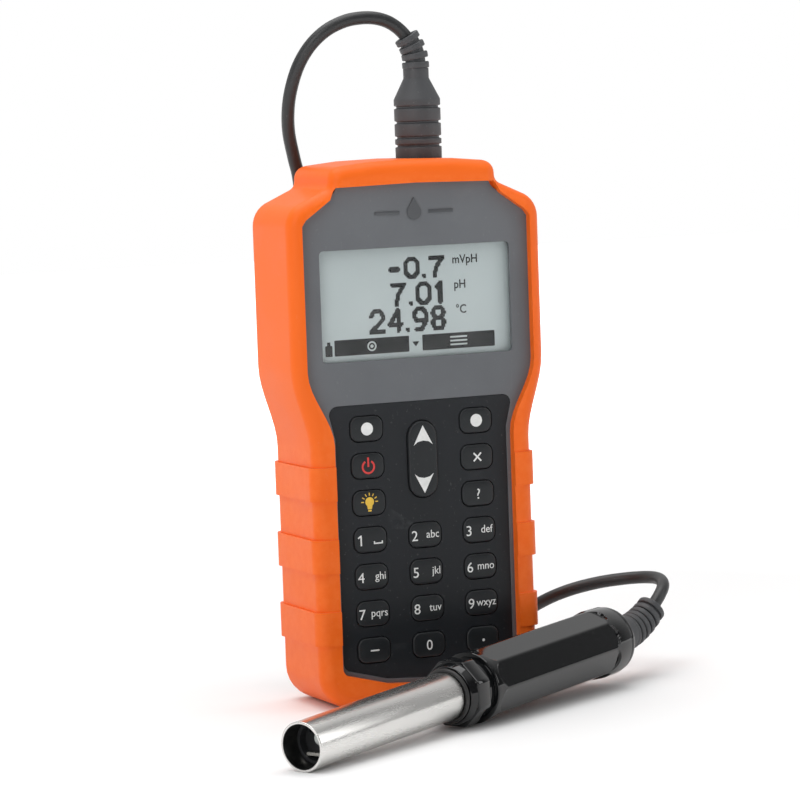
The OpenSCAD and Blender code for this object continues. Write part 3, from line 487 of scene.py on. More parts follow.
# colour, patch colour, roughness, grain scale, grain height in mm, patch scale, then the rest by name
finishes = {
    "bootRubber": [(0.85, 0.13, 0.008), (0.87, 0.14, 0.011), (0.38, 0.5), 2600, 0.012, 30,
        {"dust": 0.02, "edge": 0.2, "edgeColour": (0.95, 0.22, 0.05), "specular": 0.2}],
    "housingGrey": [(0.105, 0.112, 0.122), (0.122, 0.130, 0.141), (0.40, 0.55), 3200, 0.014, 35,
        {"dust": 0.03, "edge": 0.3, "edgeColour": (0.24, 0.25, 0.26)}],
    "housingDark": [(0.036, 0.038, 0.042), None, (0.45, 0.6), 3200, 0.02, 35,
        {"dust": 0.05, "edge": 0.3, "edgeColour": (0.12, 0.12, 0.13)}],
    "keypadBlack": [(0.0125, 0.0145, 0.017), (0.0155, 0.0175, 0.021), (0.38, 0.52), 3600, 0.012, 40,
        {"dust": 0.03, "edge": 0.35, "edgeColour": (0.08, 0.085, 0.09), "specular": 0.25}],
    "keyBlack": [(0.0135, 0.0155, 0.0175), (0.0165, 0.019, 0.021), (0.34, 0.46), 3600, 0.01, 60,
        {"dust": 0.03, "edge": 0.45, "edgeColour": (0.10, 0.105, 0.11), "specular": 0.3}],
    "printWhite": [(0.80, 0.81, 0.80), (0.70, 0.71, 0.70), (0.45, 0.55), 4000, 0.004, 300, {}],
    "printRed": [(0.62, 0.035, 0.03), None, (0.45, 0.55), 4000, 0.004, 300, {}],
    "printYellow": [(0.75, 0.48, 0.05), None, (0.45, 0.55), 4000, 0.004, 300, {}],
    "lcdInk": [(0.010, 0.013, 0.014), (0.014, 0.017, 0.018), (0.5, 0.6), 5000, 0.002, 200,
        {"specular": 0.1}],
    "lcdPale": [(0.50, 0.56, 0.55), None, (0.35, 0.45), 5000, 0.002, 200, {}],
    "plugRubber": [(0.046, 0.048, 0.052), (0.053, 0.055, 0.059), (0.50, 0.64), 2400, 0.02, 60,
        {"dust": 0.05, "edge": 0.35, "edgeColour": (0.10, 0.10, 0.105)}],
    "cordRubber": [(0.022, 0.023, 0.024), (0.028, 0.029, 0.030), (0.34, 0.46), 1800, 0.01, 120,
        {"dust": 0.04, "specular": 0.4}],
    "strapWeave": [(0.016, 0.016, 0.017), (0.03, 0.03, 0.032), (0.7, 0.85), 1500, 0.12, 900,
        {"dust": 0.08}],
    "sleeveSteel": [(0.70, 0.69, 0.67), (0.72, 0.71, 0.69), (0.22, 0.3), 900, 0.0006, 50,
        {"metallic": 1.0, "turned": alongProbe, "grainStretch": (0.25, 3, 3)}],
    # innerSteel: a dark copy of the sleeve steel for the inner wall of the bore, painted shade inside the
    # tube
    "innerSteel": [(0.10, 0.10, 0.098), None, (0.3, 0.42), 900, 0.004, 50, {"metallic": 1.0}],
    "housingMark": [(0.062, 0.066, 0.072), None, (0.35, 0.45), 3200, 0.01, 35, {}],
    "nickel": [(0.62, 0.60, 0.56), None, (0.2, 0.32), 2000, 0.004, 80, {"metallic": 1.0}],
    "pinGold": [(0.78, 0.55, 0.20), None, (0.16, 0.26), 2000, 0.003, 90, {"metallic": 1.0}],
    "screwSteel": [(0.50, 0.50, 0.50), None, (0.28, 0.42), 2400, 0.01, 200, {"metallic": 1.0}],
    "handleGloss": [(0.0045, 0.0048, 0.0055), (0.0055, 0.006, 0.0065), (0.045, 0.085), 1200, 0.0012, 40,
        {"dust": 0.02, "coat": 0.1, "specular": 0.45}],
    "sealRubber": [(0.012, 0.012, 0.012), None, (0.4, 0.55), 2600, 0.012, 60, {"dust": 0.04}],
    "coreBlack": [(0.02, 0.021, 0.023), None, (0.35, 0.5), 2600, 0.015, 60, {}],
    "boardGreen": [(0.012, 0.11, 0.035), (0.02, 0.15, 0.05), (0.3, 0.45), 1500, 0.01, 90, {}],
    "chipBlack": [(0.018, 0.018, 0.02), None, (0.45, 0.6), 3000, 0.02, 60, {}],
    "diffuserWhite": [(0.74, 0.76, 0.74), None, (0.4, 0.5), 2600, 0.01, 60, {}],
    "matSilicone": [(0.48, 0.49, 0.48), None, (0.45, 0.6), 2200, 0.02, 60, {}],
    "cellWrap": [(0.03, 0.09, 0.22), (0.04, 0.11, 0.26), (0.25, 0.35), 900, 0.006, 50, {}]}
looks = {}
for name, (*values, extra) in finishes.items():
    looks[name] = makeMaterial(name, *values, **extra)


def makeLcdGlass():
    # grey-green panel with a faint grid of picture elements
    material = makeMaterial("lcdGlass", (0.50, 0.575, 0.58), (0.54, 0.615, 0.62), (0.4, 0.5),
                            3000, 0.001, 18)
    tree = material.node_tree
    shader = tree.nodes["Principled BSDF"]
    where = tree.nodes.new("ShaderNodeTexCoord").outputs["Object"]
    parts = tree.nodes.new("ShaderNodeSeparateXYZ")
    tree.links.new(where, parts.inputs[0])
    lines = []
    for axis in ("X", "Z"):
        wave = mathNode(tree, "FRACT", mathNode(tree, "MULTIPLY", parts.outputs[axis], 2600))
        lines.append(mathNode(tree, "LESS_THAN", wave, 0.16))
    grid = mathNode(tree, "MAXIMUM", *lines)
    old = shader.inputs["Base Color"].links[0].from_socket
    tone = mixColour(tree, mathNode(tree, "MULTIPLY", grid, 0.35), old, (0.46, 0.52, 0.525))
    tree.links.new(tone, shader.inputs["Base Color"])
    return material


def makeWindow(name, base, gloss, tint, metallic):
    # clear cover: see-through face on, with a reflection that grows at a slant
    material = bpy.data.materials.new(name)
    material.use_nodes = True
    tree = material.node_tree
    shader = tree.nodes["Principled BSDF"]
    shader.inputs["Base Color"].default_value = (*tint, 1)
    shader.inputs["Metallic"].default_value = metallic
    fresnel = tree.nodes.new("ShaderNodeFresnel")
    fresnel.inputs["IOR"].default_value = 1.45
    where = tree.nodes.new("ShaderNodeTexCoord").outputs["Object"]
    smears = rangeNode(tree, noiseNode(tree, where, 60, 4), 0.4, 0.7, 0.0, 0.012)
    alpha = mathNode(tree, "ADD", mathNode(tree, "MULTIPLY", fresnel.outputs[0], gloss), smears)
    tree.links.new(mathNode(tree, "ADD", alpha, base), shader.inputs["Alpha"])
    tree.links.new(rangeNode(tree, noiseNode(tree, where, 900, 2), 0.3, 0.7, 0.03, 0.08),
                   shader.inputs["Roughness"])
    return material


looks["lcdGlass"] = makeLcdGlass()
looks["windowClear"] = makeWindow("windowClear", 0.0, 0.35, (1, 1, 1), 1.0)
looks["bulbGlass"] = makeWindow("bulbGlass", 0.75, 1.2, (0.75, 0.78, 0.76), 0.0)
print("materials made")

# slots that are named otherwise than their finish
oddSlots = {"black_rubber": "sealRubber", "cord_black": "cordRubber", "rocker_black": "keyBlack"}


def slotLook(slot):
    first, *rest = slot.split("_")
    return looks[oddSlots.get(slot, first + "".join(word.title() for word in rest))]


slotOf = {row["node"]: row["material_slot"] for row in frame["record"]["subparts"]}
for name, thing in nodes.items():
    thing.data.materials.clear()
    thing.data.materials.append(slotLook(slotOf[name]))


def settle(piece, standsFor, look=None):
    # gives a piece the body of the CAD nodes that it stands for and, when one is given, its finish, and
    # hides those nodes
    node = standsFor[0]
    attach(piece, nodes[node]["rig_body"])
    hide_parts(*standsFor)
    if look is not None:
        piece.data.materials.clear()
        piece.data.materials.append(looks[look])


def softCopy(node, name, bevel, angle=32, segments=3, sharpAngle=40, plain=None):
    # a merged copy of a CAD node with its edges rounded
    mesh = nodes[node].data.copy()
    mesh.name = name
    work = bmesh.new()
    work.from_mesh(mesh)
    bmesh.ops.remove_doubles(work, verts=work.verts, dist=2e-6)
    bmesh.ops.dissolve_degenerate(work, dist=2e-6, edges=work.edges)
    bmesh.ops.dissolve_limit(work, angle_limit=math.radians(0.8), verts=work.verts, edges=work.edges)
    if plain is not None:
        weights = work.edges.layers.float.new("bevel_weight_edge")
        for e in work.edges:
            turned = len(e.link_faces) == 2 and e.calc_face_angle(0) > math.radians(angle)
            e[weights] = 1.0 if turned and not plain((e.verts[0].co + e.verts[1].co) / 2) else 0.0
    work.to_mesh(mesh)
    work.free()
    piece = shown(name, mesh)
    edge = piece.modifiers.new("roundedEdges", "BEVEL")
    edge.width = bevel * mm
    edge.segments = segments
    edge.limit_method = "ANGLE" if plain is None else "WEIGHT"
    edge.angle_limit = math.radians(angle)
    edge.use_clamp_overlap = True
    mesh.shade_smooth()
    mesh.set_sharp_from_angle(angle=math.radians(sharpAngle))
    flats = piece.modifiers.new("evenFlats", "WEIGHTED_NORMAL")
    flats.keep_sharp = True
    flats.weight = 90
    piece.data = meshFrom(piece)
    return piece


# Cord pieces settled
settle(cordPiece, ["cord_upper", "cord_coil", "cord_lower"], "cordRubber")
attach(coilStrap, "probe")
coilStrap.data.materials.append(looks["strapWeave"])

# Meter shells
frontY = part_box("front_housing")[0].y


def onMark(p):
    return p.y < frontY + 0.6 * mm and abs(p.x) < 0.016 and 0.158 < p.z < 0.176


# node: piece, finish, rounding in mm, and what else its rounding needs
shells = {"boot": ("rubberBoot", "bootRubber", 0.9, {"angle": 30, "segments": 4}),
          "front_housing": ("frontShell", "housingGrey", 0.35, {"plain": onMark}),
          "rear_housing": ("rearShell", "housingDark", 0.3, {}),
          "keypad_plate": ("keypadPlate", "keypadBlack", 0.18, {}),
          "battery_cover": ("batteryLid", "housingDark", 0.45, {}),
          "cover_screws": ("lidScrews", "screwSteel", 0.12, {})}
for node, (name, look, bevel, extra) in shells.items():
    settle(softCopy(node, name, bevel, **extra), [node], look)
frontShell = bpy.data.objects["frontShell"]
frontShell.data.materials.append(looks["housingMark"])
for face in frontShell.data.polygons:
    if face.center.y < frontY + 0.3 * mm and onMark(face.center):
        face.material_index = 1
print("shells made")


# Printed marks
def flatMark(outline, depth=0.05):
    # an outline in x and z, in mm, as points and faces of a thin plate that faces -Y
    count = len(outline)
    points = [(x, -depth, z) for x, z in outline] + [(x, 0, z) for x, z in outline]
    faces = [list(range(count)), list(range(2 * count - 1, count - 1, -1))]
    faces += [[i, i + count, (i + 1) % count + count, (i + 1) % count] for i in range(count)]
    return points, faces


def plates(look, outlines, depth=0.05):
    return [(*flatMark(outline, depth), look) for outline in outlines]


def textMark(text, x, z, capHigh, anchor=0.5, bold=0.0, narrow=1.0, depth=0.06):
    # lettering with its baseline at z and its anchor share of the width at x, in mm
    curve = bpy.data.curves.new("lettering", "FONT")
    curve.body = text
    curve.offset = bold
    curve.resolution_u = 3
    curve.extrude = 0.5
    thing = shown("lettering", curve)
    mesh = bpy.data.meshes.new_from_object(thing.evaluated_get(bpy.context.evaluated_depsgraph_get()))
    bpy.data.objects.remove(thing)
    co = np.array([v.co for v in mesh.vertices])
    low, high = co.min(0), co.max(0)
    size = capHigh / 0.72
    wide = narrow * size
    points = [(x + (p[0] - low[0] - anchor * (high[0] - low[0])) * wide, -depth / 2 - p[2] * depth,
               z + p[1] * size) for p in co]
    faces = [list(f.vertices) for f in mesh.polygons]
    bpy.data.meshes.remove(mesh)
    return points, faces


digitStrokes = {
    "0": [(.3, 0), (.7, 0), (1, .22), (1, .78), (.7, 1), (.3, 1), (0, .78), (0, .22), (.3, 0)],
    "1": [(.15, .78), (.6, 1), (.6, 0)], "7": [(0, 1), (1, 1), (.45, .45), (.32, 0)],
    "2": [(0, .78), (.22, 1), (.78, 1), (1, .78), (1, .6), (0, 0), (1, 0)],
    "4": [(.75, 0), (.75, 1), (0, .3), (1, .3)], "-": [(0, .45), (.8, .45)], ".": [(.0, .02), (.15, .02)],
    "9": [(.15, 0), (.6, 0), (1, .4), (1, .78), (.75, 1), (.25, 1), (0, .8), (0, .6), (.25, .42), (1, .42)],
    "8": [(.25, .53), (0, .76), (.22, 1), (.78, 1), (1, .76), (.75, .53), (.25, .53), (0, .28), (.2, 0),
          (.8, 0), (1, .28), (.75, .53)]}


def strokeGap(p, a, b):
    along = b - a
    share = min(max((p - a).dot(along) / max(along.length_squared, 1e-9), 0), 1)
    return (p - a - share * along).length


def dotDigits(text, right, low, high, dot=0.5, thick=0.8, wide=4.4):
    # large figures drawn as rows of square dots, right aligned, in mm
    widths = {"1": 2.9, ".": 0.3, "-": 3.4}
    span = high - low - 2 * thick
    total = sum(widths.get(c, wide) + 2.35 for c in text) - 2.35
    x, out = right - thick - total, []
    for c in text:
        w = widths.get(c, wide)
        grow = w if c != "." else 1
        line = [Vector((x + u * grow, low + thick + v * span)) for u, v in digitStrokes[c]]
        for row in range(int((high - low) / dot) + 1):
            z, run = low + (row + 0.5) * dot, None
            for col in range(int((w + 3) / dot) + 2):
                px = x - thick - dot + (col + 0.5) * dot
                lit = min(strokeGap(Vector((px, z)), a, b) for a, b in zip(line, line[1:])) < thick
                if lit and run is None:
                    run = px - dot / 2
                if not lit and run is not None:
                    out.append(box(run, px - dot / 2, z - dot * 0.49, z + dot * 0.49))
                    run = None
        x += w + 2.35
    return out


def box(x0, x1, z0, z1, corner=0.0):
    line = [(x0, z0), (x1, z0), (x1, z1), (x0, z1)]
    return softLine(line, corner, 3, True) if corner else line


def disc(x, z, r):
    return [(x + r * math.cos(a), z + r * math.sin(a)) for a in around(24)]


def ringMarks(x, z, outer, inner, start=0, turn=360, steps=28):
    # an arc band built from short flat pieces
    out = []
    for k in range(steps):
        a, b = (math.radians(start + turn * t / steps) for t in (k, k + 1))
        out.append([(x + inner * math.cos(a), z + inner * math.sin(a)),
                    (x + outer * math.cos(a), z + outer * math.sin(a)),
                    (x + outer * math.cos(b), z + outer * math.sin(b)),
                    (x + inner * math.cos(b), z + inner * math.sin(b))])
    return out


def joinMarks(name, marks, y, shift=(0, 0)):
    # marks hold (points, faces, finish); everything lands on the plane y, in mm
    points, faces, used, owner = [], [], [], []
    for p, f, material in marks:
        start = len(points)
        points += [((a + shift[0]) * mm, (b + y) * mm, (c + shift[1]) * mm) for a, b, c in p]
        faces += [[v + start for v in face] for face in f]
        if material not in used:
            used.append(material)
        owner += [used.index(material)] * len(f)
    mesh = bpy.data.meshes.new(name)
    mesh.from_pydata(points, [], faces)
    for material in used:
        mesh.materials.append(looks[material])
    mesh.polygons.foreach_set("material_index", owner)
    work = bmesh.new()
    work.from_mesh(mesh)
    bmesh.ops.recalc_face_normals(work, faces=work.faces)
    work.to_mesh(mesh)
    work.free()
    return shown(name, mesh)


# Display
readings = {"rows": (("-0.7", 144.2, 151.8), ("7.01", 135.1, 143.3), ("24.98", 126.2, 134.6)),
            "right": 12.2, "barLow": 119.6, "barHigh": 125.0,
            "units": (("mVpH", 15.2, 148.7), ("pH", 15.6, 140.2), ("\u00b0C", 16.0, 131.6)),
            "unitHigh": 3.0,
            "bars": ((-29.8, -2.1), (2.9, 30.3)), "storeSign": -16, "listSign": (13.4, 19.8),
            "listStep": 1.3, "listLine": 0.28}


def makeReadings():
    marks = []
    for text, low, high in readings["rows"]:
        marks += plates("lcdInk", dotDigits(text, readings["right"], low, high), 0.06)
    for text, x, z in readings["units"]:
        marks.append((*textMark(text, x, z, readings["unitHigh"], 0.0, 0.012, 0.9), "lcdInk"))
    for x0, x1 in readings["bars"]:
        marks += plates("lcdInk", [box(x0, x1, readings["barLow"], readings["barHigh"], 0.3)], 0.04)
    # generic signs in the soft key bars: a stored value, and a list
    middle = (readings["barLow"] + readings["barHigh"]) / 2
    signX, line = readings["storeSign"], readings["listLine"]
    signs = ringMarks(signX, middle, 1.7, 1.15) + [disc(signX, middle, 0.6)]
    signs += [box(*readings["listSign"], middle + k * readings["listStep"] - line,
                  middle + k * readings["listStep"] + line) for k in (-1, 0, 1)]
    marks += plates("lcdPale", signs, 0.07)
    # battery sign and pointer
    marks += plates("lcdInk", [box(-33.2, -30.6, 119.6, 123.3, 0.3), box(-32.5, -31.3, 123.3, 124.5),
                               [(0.4, 121.2), (1.7, 122.9), (-0.9, 122.9)]])
    piece = joinMarks("displayReadings", marks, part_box("lcd_panel")[0].y / mm - 0.01)
    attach(piece, "meter")


makeReadings()
print("display made")

# Keys
keys = {"width": 12.0, "height": 8.5, "corner": 3.0, "crown": 0.2, "edge": 0.55, "flange": 1.0,
        "digitHigh": 3.6, "letterHigh": 2.75}
letterGroups = {"key_2": "abc", "key_3": "def", "key_4": "ghi", "key_5": "jkl", "key_6": "mno",
                "key_7": "pqrs", "key_8": "tuv", "key_9": "wxyz"}


def roundedOutline(w, h, r, steps=8):
    r = min(r, w / 2 - 0.01, h / 2 - 0.01)
    out = []
    for cx, cz, start in ((w / 2 - r, h / 2 - r, 0), (-w / 2 + r, h / 2 - r, 90),
                          (-w / 2 + r, -h / 2 + r, 180), (w / 2 - r, -h / 2 + r, 270)):
        for k in range(steps + 1):
            a = math.radians(start + 90 * k / steps)
            out.append((cx + r * math.cos(a), cz + r * math.sin(a)))
    return out


def capRings(w, h, r, crown, edge, frontY, levels):
    # a pillow face, a rounded rim, then straight levels of (grow, y) to the back
    rings = [[(0, frontY, 0)]]
    outline = roundedOutline(w - 2 * edge, h - 2 * edge, max(r - edge, 0.5))
    for s in (0.2, 0.4, 0.6, 0.8, 0.92, 1.0):
        rings.append([(x * s, frontY + crown * s ** 3.2, z * s) for x, z in outline])
    for k in (1, 2, 3, 4):
        a = math.radians(22.5 * k)
        grow = -edge + edge * math.sin(a)
        line = roundedOutline(w + 2 * grow, h + 2 * grow, r + grow)
        rings.append([(x, frontY + crown + edge * (1 - math.cos(a)), z) for x, z in line])
    for grow, y in levels:
        rings.append([(x, y, z) for x, z in roundedOutline(w + 2 * grow, h + 2 * grow, r + grow)])
    rings.append([(0, levels[-1][1], 0)])
    return rings


def keyMarks(name):
    cap, small = keys["digitHigh"], keys["letterHigh"]
    foot = -cap / 2
    if name in letterGroups:
        letters = letterGroups[name]
        right = 5.3 if len(letters) == 4 else 5.0
        return [(*textMark(name[-1], -4.1, foot, cap), "printWhite"),
                (*textMark(letters, right, foot + 0.75, small, 1.0, 0.0, 0.95), "printWhite")]
    if name == "key_1":
        space = [(1.0, -1.5), (4.4, -1.5), (4.4, -0.5), (3.95, -0.5), (3.95, -1.05), (1.45, -1.05),
                 (1.45, -0.5), (1.0, -0.5)]
        one = [(-3.9, foot), (-3.4, foot), (-3.4, -foot), (-3.8, -foot), (-4.8, -foot - 0.75),
               (-4.55, -foot - 1.15), (-3.9, -foot - 0.65)]
        return plates("printWhite", [one, space])
    if name == "key_0":
        return [(*textMark("0", 0, foot, cap), "printWhite")]
    if name == "key_minus":
        return plates("printWhite", [box(-1.6, 1.6, -0.25, 0.25)])
    if name == "key_point":
        return plates("printWhite", [disc(0, -0.4, 0.5)])
    if name in ("key_soft_left", "key_soft_right"):
        return plates("printWhite", ringMarks(0, 0, 2.2, 0.9) + [disc(0, 0, 1.0)])
    if name == "key_power":
        return plates("printRed", ringMarks(0, -0.3, 2.45, 1.8, 122, 296) + [box(-0.33, 0.33, -0.3, 2.9)])
    if name == "key_light":
        lamp = [disc(0, 0.4, 1.6), [(-0.75, -2.1), (0.75, -2.1), (1.0, -0.7), (-1.0, -0.7)],
                box(-0.6, 0.6, -2.9, -2.35)]
        for k in range(7):
            a = math.radians(30 * k)
            d, n = Vector((math.cos(a), math.sin(a))), Vector((-math.sin(a), math.cos(a))) * 0.17
            ends = [Vector((0, 0.4)) + d * r for r in (2.15, 3.1)]
            lamp.append([tuple(p) for p in (ends[0] - n, ends[1] - n, ends[1] + n, ends[0] + n)])
        return plates("printYellow", lamp)
    if name == "key_escape":
        arms = []
        for way in (-1, 1):
            d, n = Vector((1, way)).normalized() * 2.0, Vector((-way, 1)).normalized() * 0.27
            arms.append([tuple(p) for p in (-d - n, d - n, d + n, -d + n)])
        return [(*flatMark(arm, 0.05 + 0.01 * i), "printWhite") for i, arm in enumerate(arms)]
    return [(*textMark("?", 0, foot, cap), "printWhite")]


def makeKey(name):
    low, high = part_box(name)
    cx, cz = (low.x + high.x) / 2 / mm, (low.z + high.z) / 2 / mm
    front, back = low.y / mm, high.y / mm
    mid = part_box("front_housing")[0].y / mm + 2.6
    rings = capRings(keys["width"], keys["height"], keys["corner"], keys["crown"], keys["edge"], front,
                     [(0, mid), (keys["flange"], mid + 0.001), (keys["flange"], mid + 1),
                      (0, mid + 1.001), (0, back)])
    points, faces = loftFaces(rings)
    marks = [(points, faces, "keyBlack")]
    for p, f, material in keyMarks(name):
        # the print follows the pillow of the face
        lifted = []
        for x, y, z in p:
            s = max(abs(x) / (keys["width"] / 2 - keys["edge"]),
                    abs(z) / (keys["height"] / 2 - keys["edge"]))
            lifted.append((x, y + front + keys["crown"] * min(s, 1) ** 3.2, z))
        marks.append((lifted, f, material))
    piece = joinMarks("cap_" + name[4:], marks, 0, (cx, cz))
    piece.data.shade_smooth()
    piece.data.set_sharp_from_angle(angle=math.radians(35))
    settle(piece, [name])


for name in [n for n in nodes if n.startswith("key_") and n != "key_mat"]:
    makeKey(name)

rocker = {"width": 10.8, "height": 26.3, "edge": 0.8, "crown": 0.06, "tipZ": 11.6,
          "arrowHigh": 6.7, "arrowWide": 7.1}


def makeRocker():
    low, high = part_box("rocker_key")
    cx, cz = (low.x + high.x) / 2 / mm, (low.z + high.z) / 2 / mm
    front = low.y / mm
    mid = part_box("front_housing")[0].y / mm + 2.6
    w, h = rocker["width"], rocker["height"]
    rings = capRings(w, h, w / 2 - 0.01, rocker["crown"], rocker["edge"], front, [(0, mid), (0, mid + 1)])
    points, faces = loftFaces(rings)
    marks = [(points, faces, "keyBlack")]
    pin = [[(x, mid + 1.0 + 0.9 * math.cos(a), 0.9 * math.sin(a))
            for a in around(24)] for x in (-8.3, 8.3)]
    block = [(x, mid + dy, z) for dy in (0.4, 2.4) for x, z in box(-(w / 2 - 0.5), w / 2 - 0.5, -3, 3)]
    sides = [[i, (i + 1) % 4, (i + 1) % 4 + 4, i + 4] for i in range(4)]
    marks.append((block, [[3, 2, 1, 0], [4, 5, 6, 7]] + sides, "keyBlack"))
    marks.append((*loftFaces([[(-8.4, mid + 1.0, 0)]] + pin + [[(8.4, mid + 1.0, 0)]]), "keyBlack"))
    for way in (1, -1):
        tip, half, foot = rocker["tipZ"], rocker["arrowWide"] / 2, rocker["tipZ"] - rocker["arrowHigh"]
        arrow = [(0, tip), (half, foot), (half * 0.6, foot + 1.1), (0, foot + 1.5),
                 (-half * 0.6, foot + 1.1), (-half, foot)]
        p, f = flatMark([(x, way * z) for x, z in arrow], 0.08)
        marks.append(([(a, b + front + rocker["crown"] * 0.5, c) for a, b, c in p], f, "printWhite"))
    piece = joinMarks("rockerCap", marks, 0, (cx, cz))
    piece.data.shade_smooth()
    piece.data.set_sharp_from_angle(angle=math.radians(35))
    settle(piece, ["rocker_key"])


makeRocker()
print("keys made")

# Plug
plug = {"radius": 8.0, "ribs": 21.3, "cone": 7.2, "neckRadius": 4.4, "neck": 3.5, "grooveWidth": 0.9,
        "grooveDepth": 0.8, "grooves": (5.0, 7.8, 13.0, 18.2), "boreRadius": 6.25, "bore": 7.5}


def makePlug():
    r, line = plug["radius"], [(0.0, plug["boreRadius"]), (0.0, plug["radius"] - 0.25)]
    line.append((0.5, r - 0.05))
    for z in plug["grooves"]:
        line += [(z, r), (z + 0.06, r - plug["grooveDepth"]),
                 (z + plug["grooveWidth"] - 0.06, r - plug["grooveDepth"]), (z + plug["grooveWidth"], r)]
    top = plug["ribs"] + plug["cone"]
    line += [(plug["ribs"], r), (top, plug["neckRadius"]), (top + plug["neck"], plug["neckRadius"]),
             (top + plug["neck"], 2.4), (plug["bore"], 2.4), (plug["bore"], plug["boreRadius"])]
    line = softLine(line, 0.35, 3, True)
    piece = lathePiece("plugGrip", [(a * mm, b * mm) for a, b in line],
                       uprightPlace("plug_body"), 96, 40, True)
    settle(piece, ["plug_body"], "plugRubber")


makePlug()


# Ribbed strain reliefs, made along their own bent axes
def reliefTree():
    tree = bpy.data.node_groups.new("ribbedRelief", "GeometryNodeTree")
    for label, kind, value in (
            ("Geometry", "NodeSocketGeometry", None), ("Rings", "NodeSocketInt", 4),
            ("First Radius", "NodeSocketFloat", 4.5), ("Last Radius", "NodeSocketFloat", 4.3),
            ("Ring Width", "NodeSocketFloat", 2.0), ("Ring Depth", "NodeSocketFloat", 1.6),
            ("Core Radius", "NodeSocketFloat", 3.5), ("Finish", "NodeSocketMaterial", None)):
        socket = tree.interface.new_socket(label, in_out="INPUT", socket_type=kind)
        if value is not None:
            socket.default_value = value
    tree.interface.new_socket("Geometry", in_out="OUTPUT", socket_type="NodeSocketGeometry")
    start, end = tree.nodes.new("NodeGroupInput"), tree.nodes.new("NodeGroupOutput")
    given = start.outputs

    def add(kind, values=None, links=None, **settings):
        return treeNode(tree, kind, values, links, **settings).outputs

    # core along the axis
    round48 = add("GeometryNodeCurvePrimitiveCircle", {"Resolution": 48}, {"Radius": given["Core Radius"]})
    core = add("GeometryNodeCurveToMesh", {"Fill Caps": True},
               {"Curve": given["Geometry"], "Profile Curve": round48["Curve"]})
    # one ring: a rounded band swept round a circle
    circle = add("GeometryNodeCurvePrimitiveCircle", {"Resolution": 56}, {"Radius": given["First Radius"]})
    band = add("GeometryNodeCurvePrimitiveQuadrilateral", None,
               {"Width": given["Ring Depth"], "Height": given["Ring Width"]})
    soft = add("GeometryNodeFilletCurve", {"Count": 4, "Radius": 0.45 * mm}, {"Curve": band["Curve"]},
               mode="POLY")
    ring = add("GeometryNodeCurveToMesh", None, {"Curve": circle["Curve"], "Profile Curve": soft["Curve"]})
    # rings set along the axis, each a little smaller
    places = add("GeometryNodeCurveToPoints", None, {"Curve": given["Geometry"], "Count": given["Rings"]})
    last = add("ShaderNodeMath", {1: 1}, {0: given["Rings"]}, operation="SUBTRACT")
    ratio = add("ShaderNodeMath", None, {0: given["Last Radius"], 1: given["First Radius"]},
                operation="DIVIDE")
    share = add("ShaderNodeMapRange", {"To Min": 1},
                {"Value": add("GeometryNodeInputIndex")["Index"], "From Max": last[0], "To Max": ratio[0]})
    spread = add("GeometryNodeInstanceOnPoints", None, {
        "Points": places["Points"], "Instance": ring["Mesh"], "Rotation": places["Rotation"],
        "Scale": share["Result"]})
    both = add("GeometryNodeJoinGeometry", None, {"Geometry": spread["Instances"]})
    tree.links.new(core["Mesh"], both["Geometry"].node.inputs["Geometry"])
    real = add("GeometryNodeRealizeInstances", None, {"Geometry": both["Geometry"]})
    finish = add("GeometryNodeSetMaterial", None,
                 {"Geometry": real["Geometry"], "Material": given["Finish"]})
    tree.links.new(finish["Geometry"], end.inputs["Geometry"])
    return tree


reliefNodes = reliefTree()


def bentAxis(place, turn, count, pitch, straight=0.0):
    # stations of the relief: each step turns the rest a little; place carries +Z along the axis
    stations = [place.translation.copy()]
    step = place.copy()
    bend = (Matrix.Rotation(math.radians(turn[1]), 4, "Y") @ Matrix.Rotation(math.radians(turn[0]), 4, "X"))
    if straight:
        step = step @ Matrix.Translation((0, 0, straight)) @ bend
        stations.append(step.translation.copy())
    for _ in range(count):
        step = step @ Matrix.Translation((0, 0, pitch)) @ bend
        stations.append(step.translation.copy())
    return stations


def makeRelief(name, axis, settings):
    curve = bpy.data.curves.new(name + "Axis", "CURVE")
    curve.dimensions = "3D"
    line = curve.splines.new("POLY")
    line.points.add(len(axis) - 1)
    for point, spot in zip(line.points, axis):
        point.co = (*spot, 1)
    guide = shown(name + "Axis", curve)
    modifier = guide.modifiers.new("ribs", "NODES")
    modifier.node_group = reliefNodes
    sockets = {s.name: s.identifier for s in reliefNodes.interface.items_tree if s.in_out == "INPUT"}
    for label, value in settings.items():
        modifier[sockets[label]] = value
    modifier[sockets["Finish"]] = looks["plugRubber"]
    mesh = meshFrom(guide)
    bpy.data.objects.remove(guide)
    piece = shown(name, mesh)
    finishMesh(piece, 40)
    return piece


probe = {"sleeveRadius": 8.0, "bore": 7.1, "plain": 76.0, "neck": 7.65, "collar": 78.0,
         "sleeveEnd": 86.0, "seal": (77.1, 8.45, 0.75), "nutRadius": 11.7,
         "handle": 90.0, "handleLength": 81.0, "handleRadius": 12.0, "panelWidth": 8.8,
         "panelDepth": 0.8, "capLength": 4.0, "capRadius": 11.6}
plugRelief = {"turn": (-2, -12), "rings": 4, "pitch": 3.2, "first": 4.6, "last": 4.4, "core": 3.45}
probeRelief = {"turn": (1.5, -6.5), "rings": 6, "pitch": 3.2, "first": 6.2, "last": 5.4, "core": 4.4,
               "straight": 9.5, "straightRadius": 6.4}


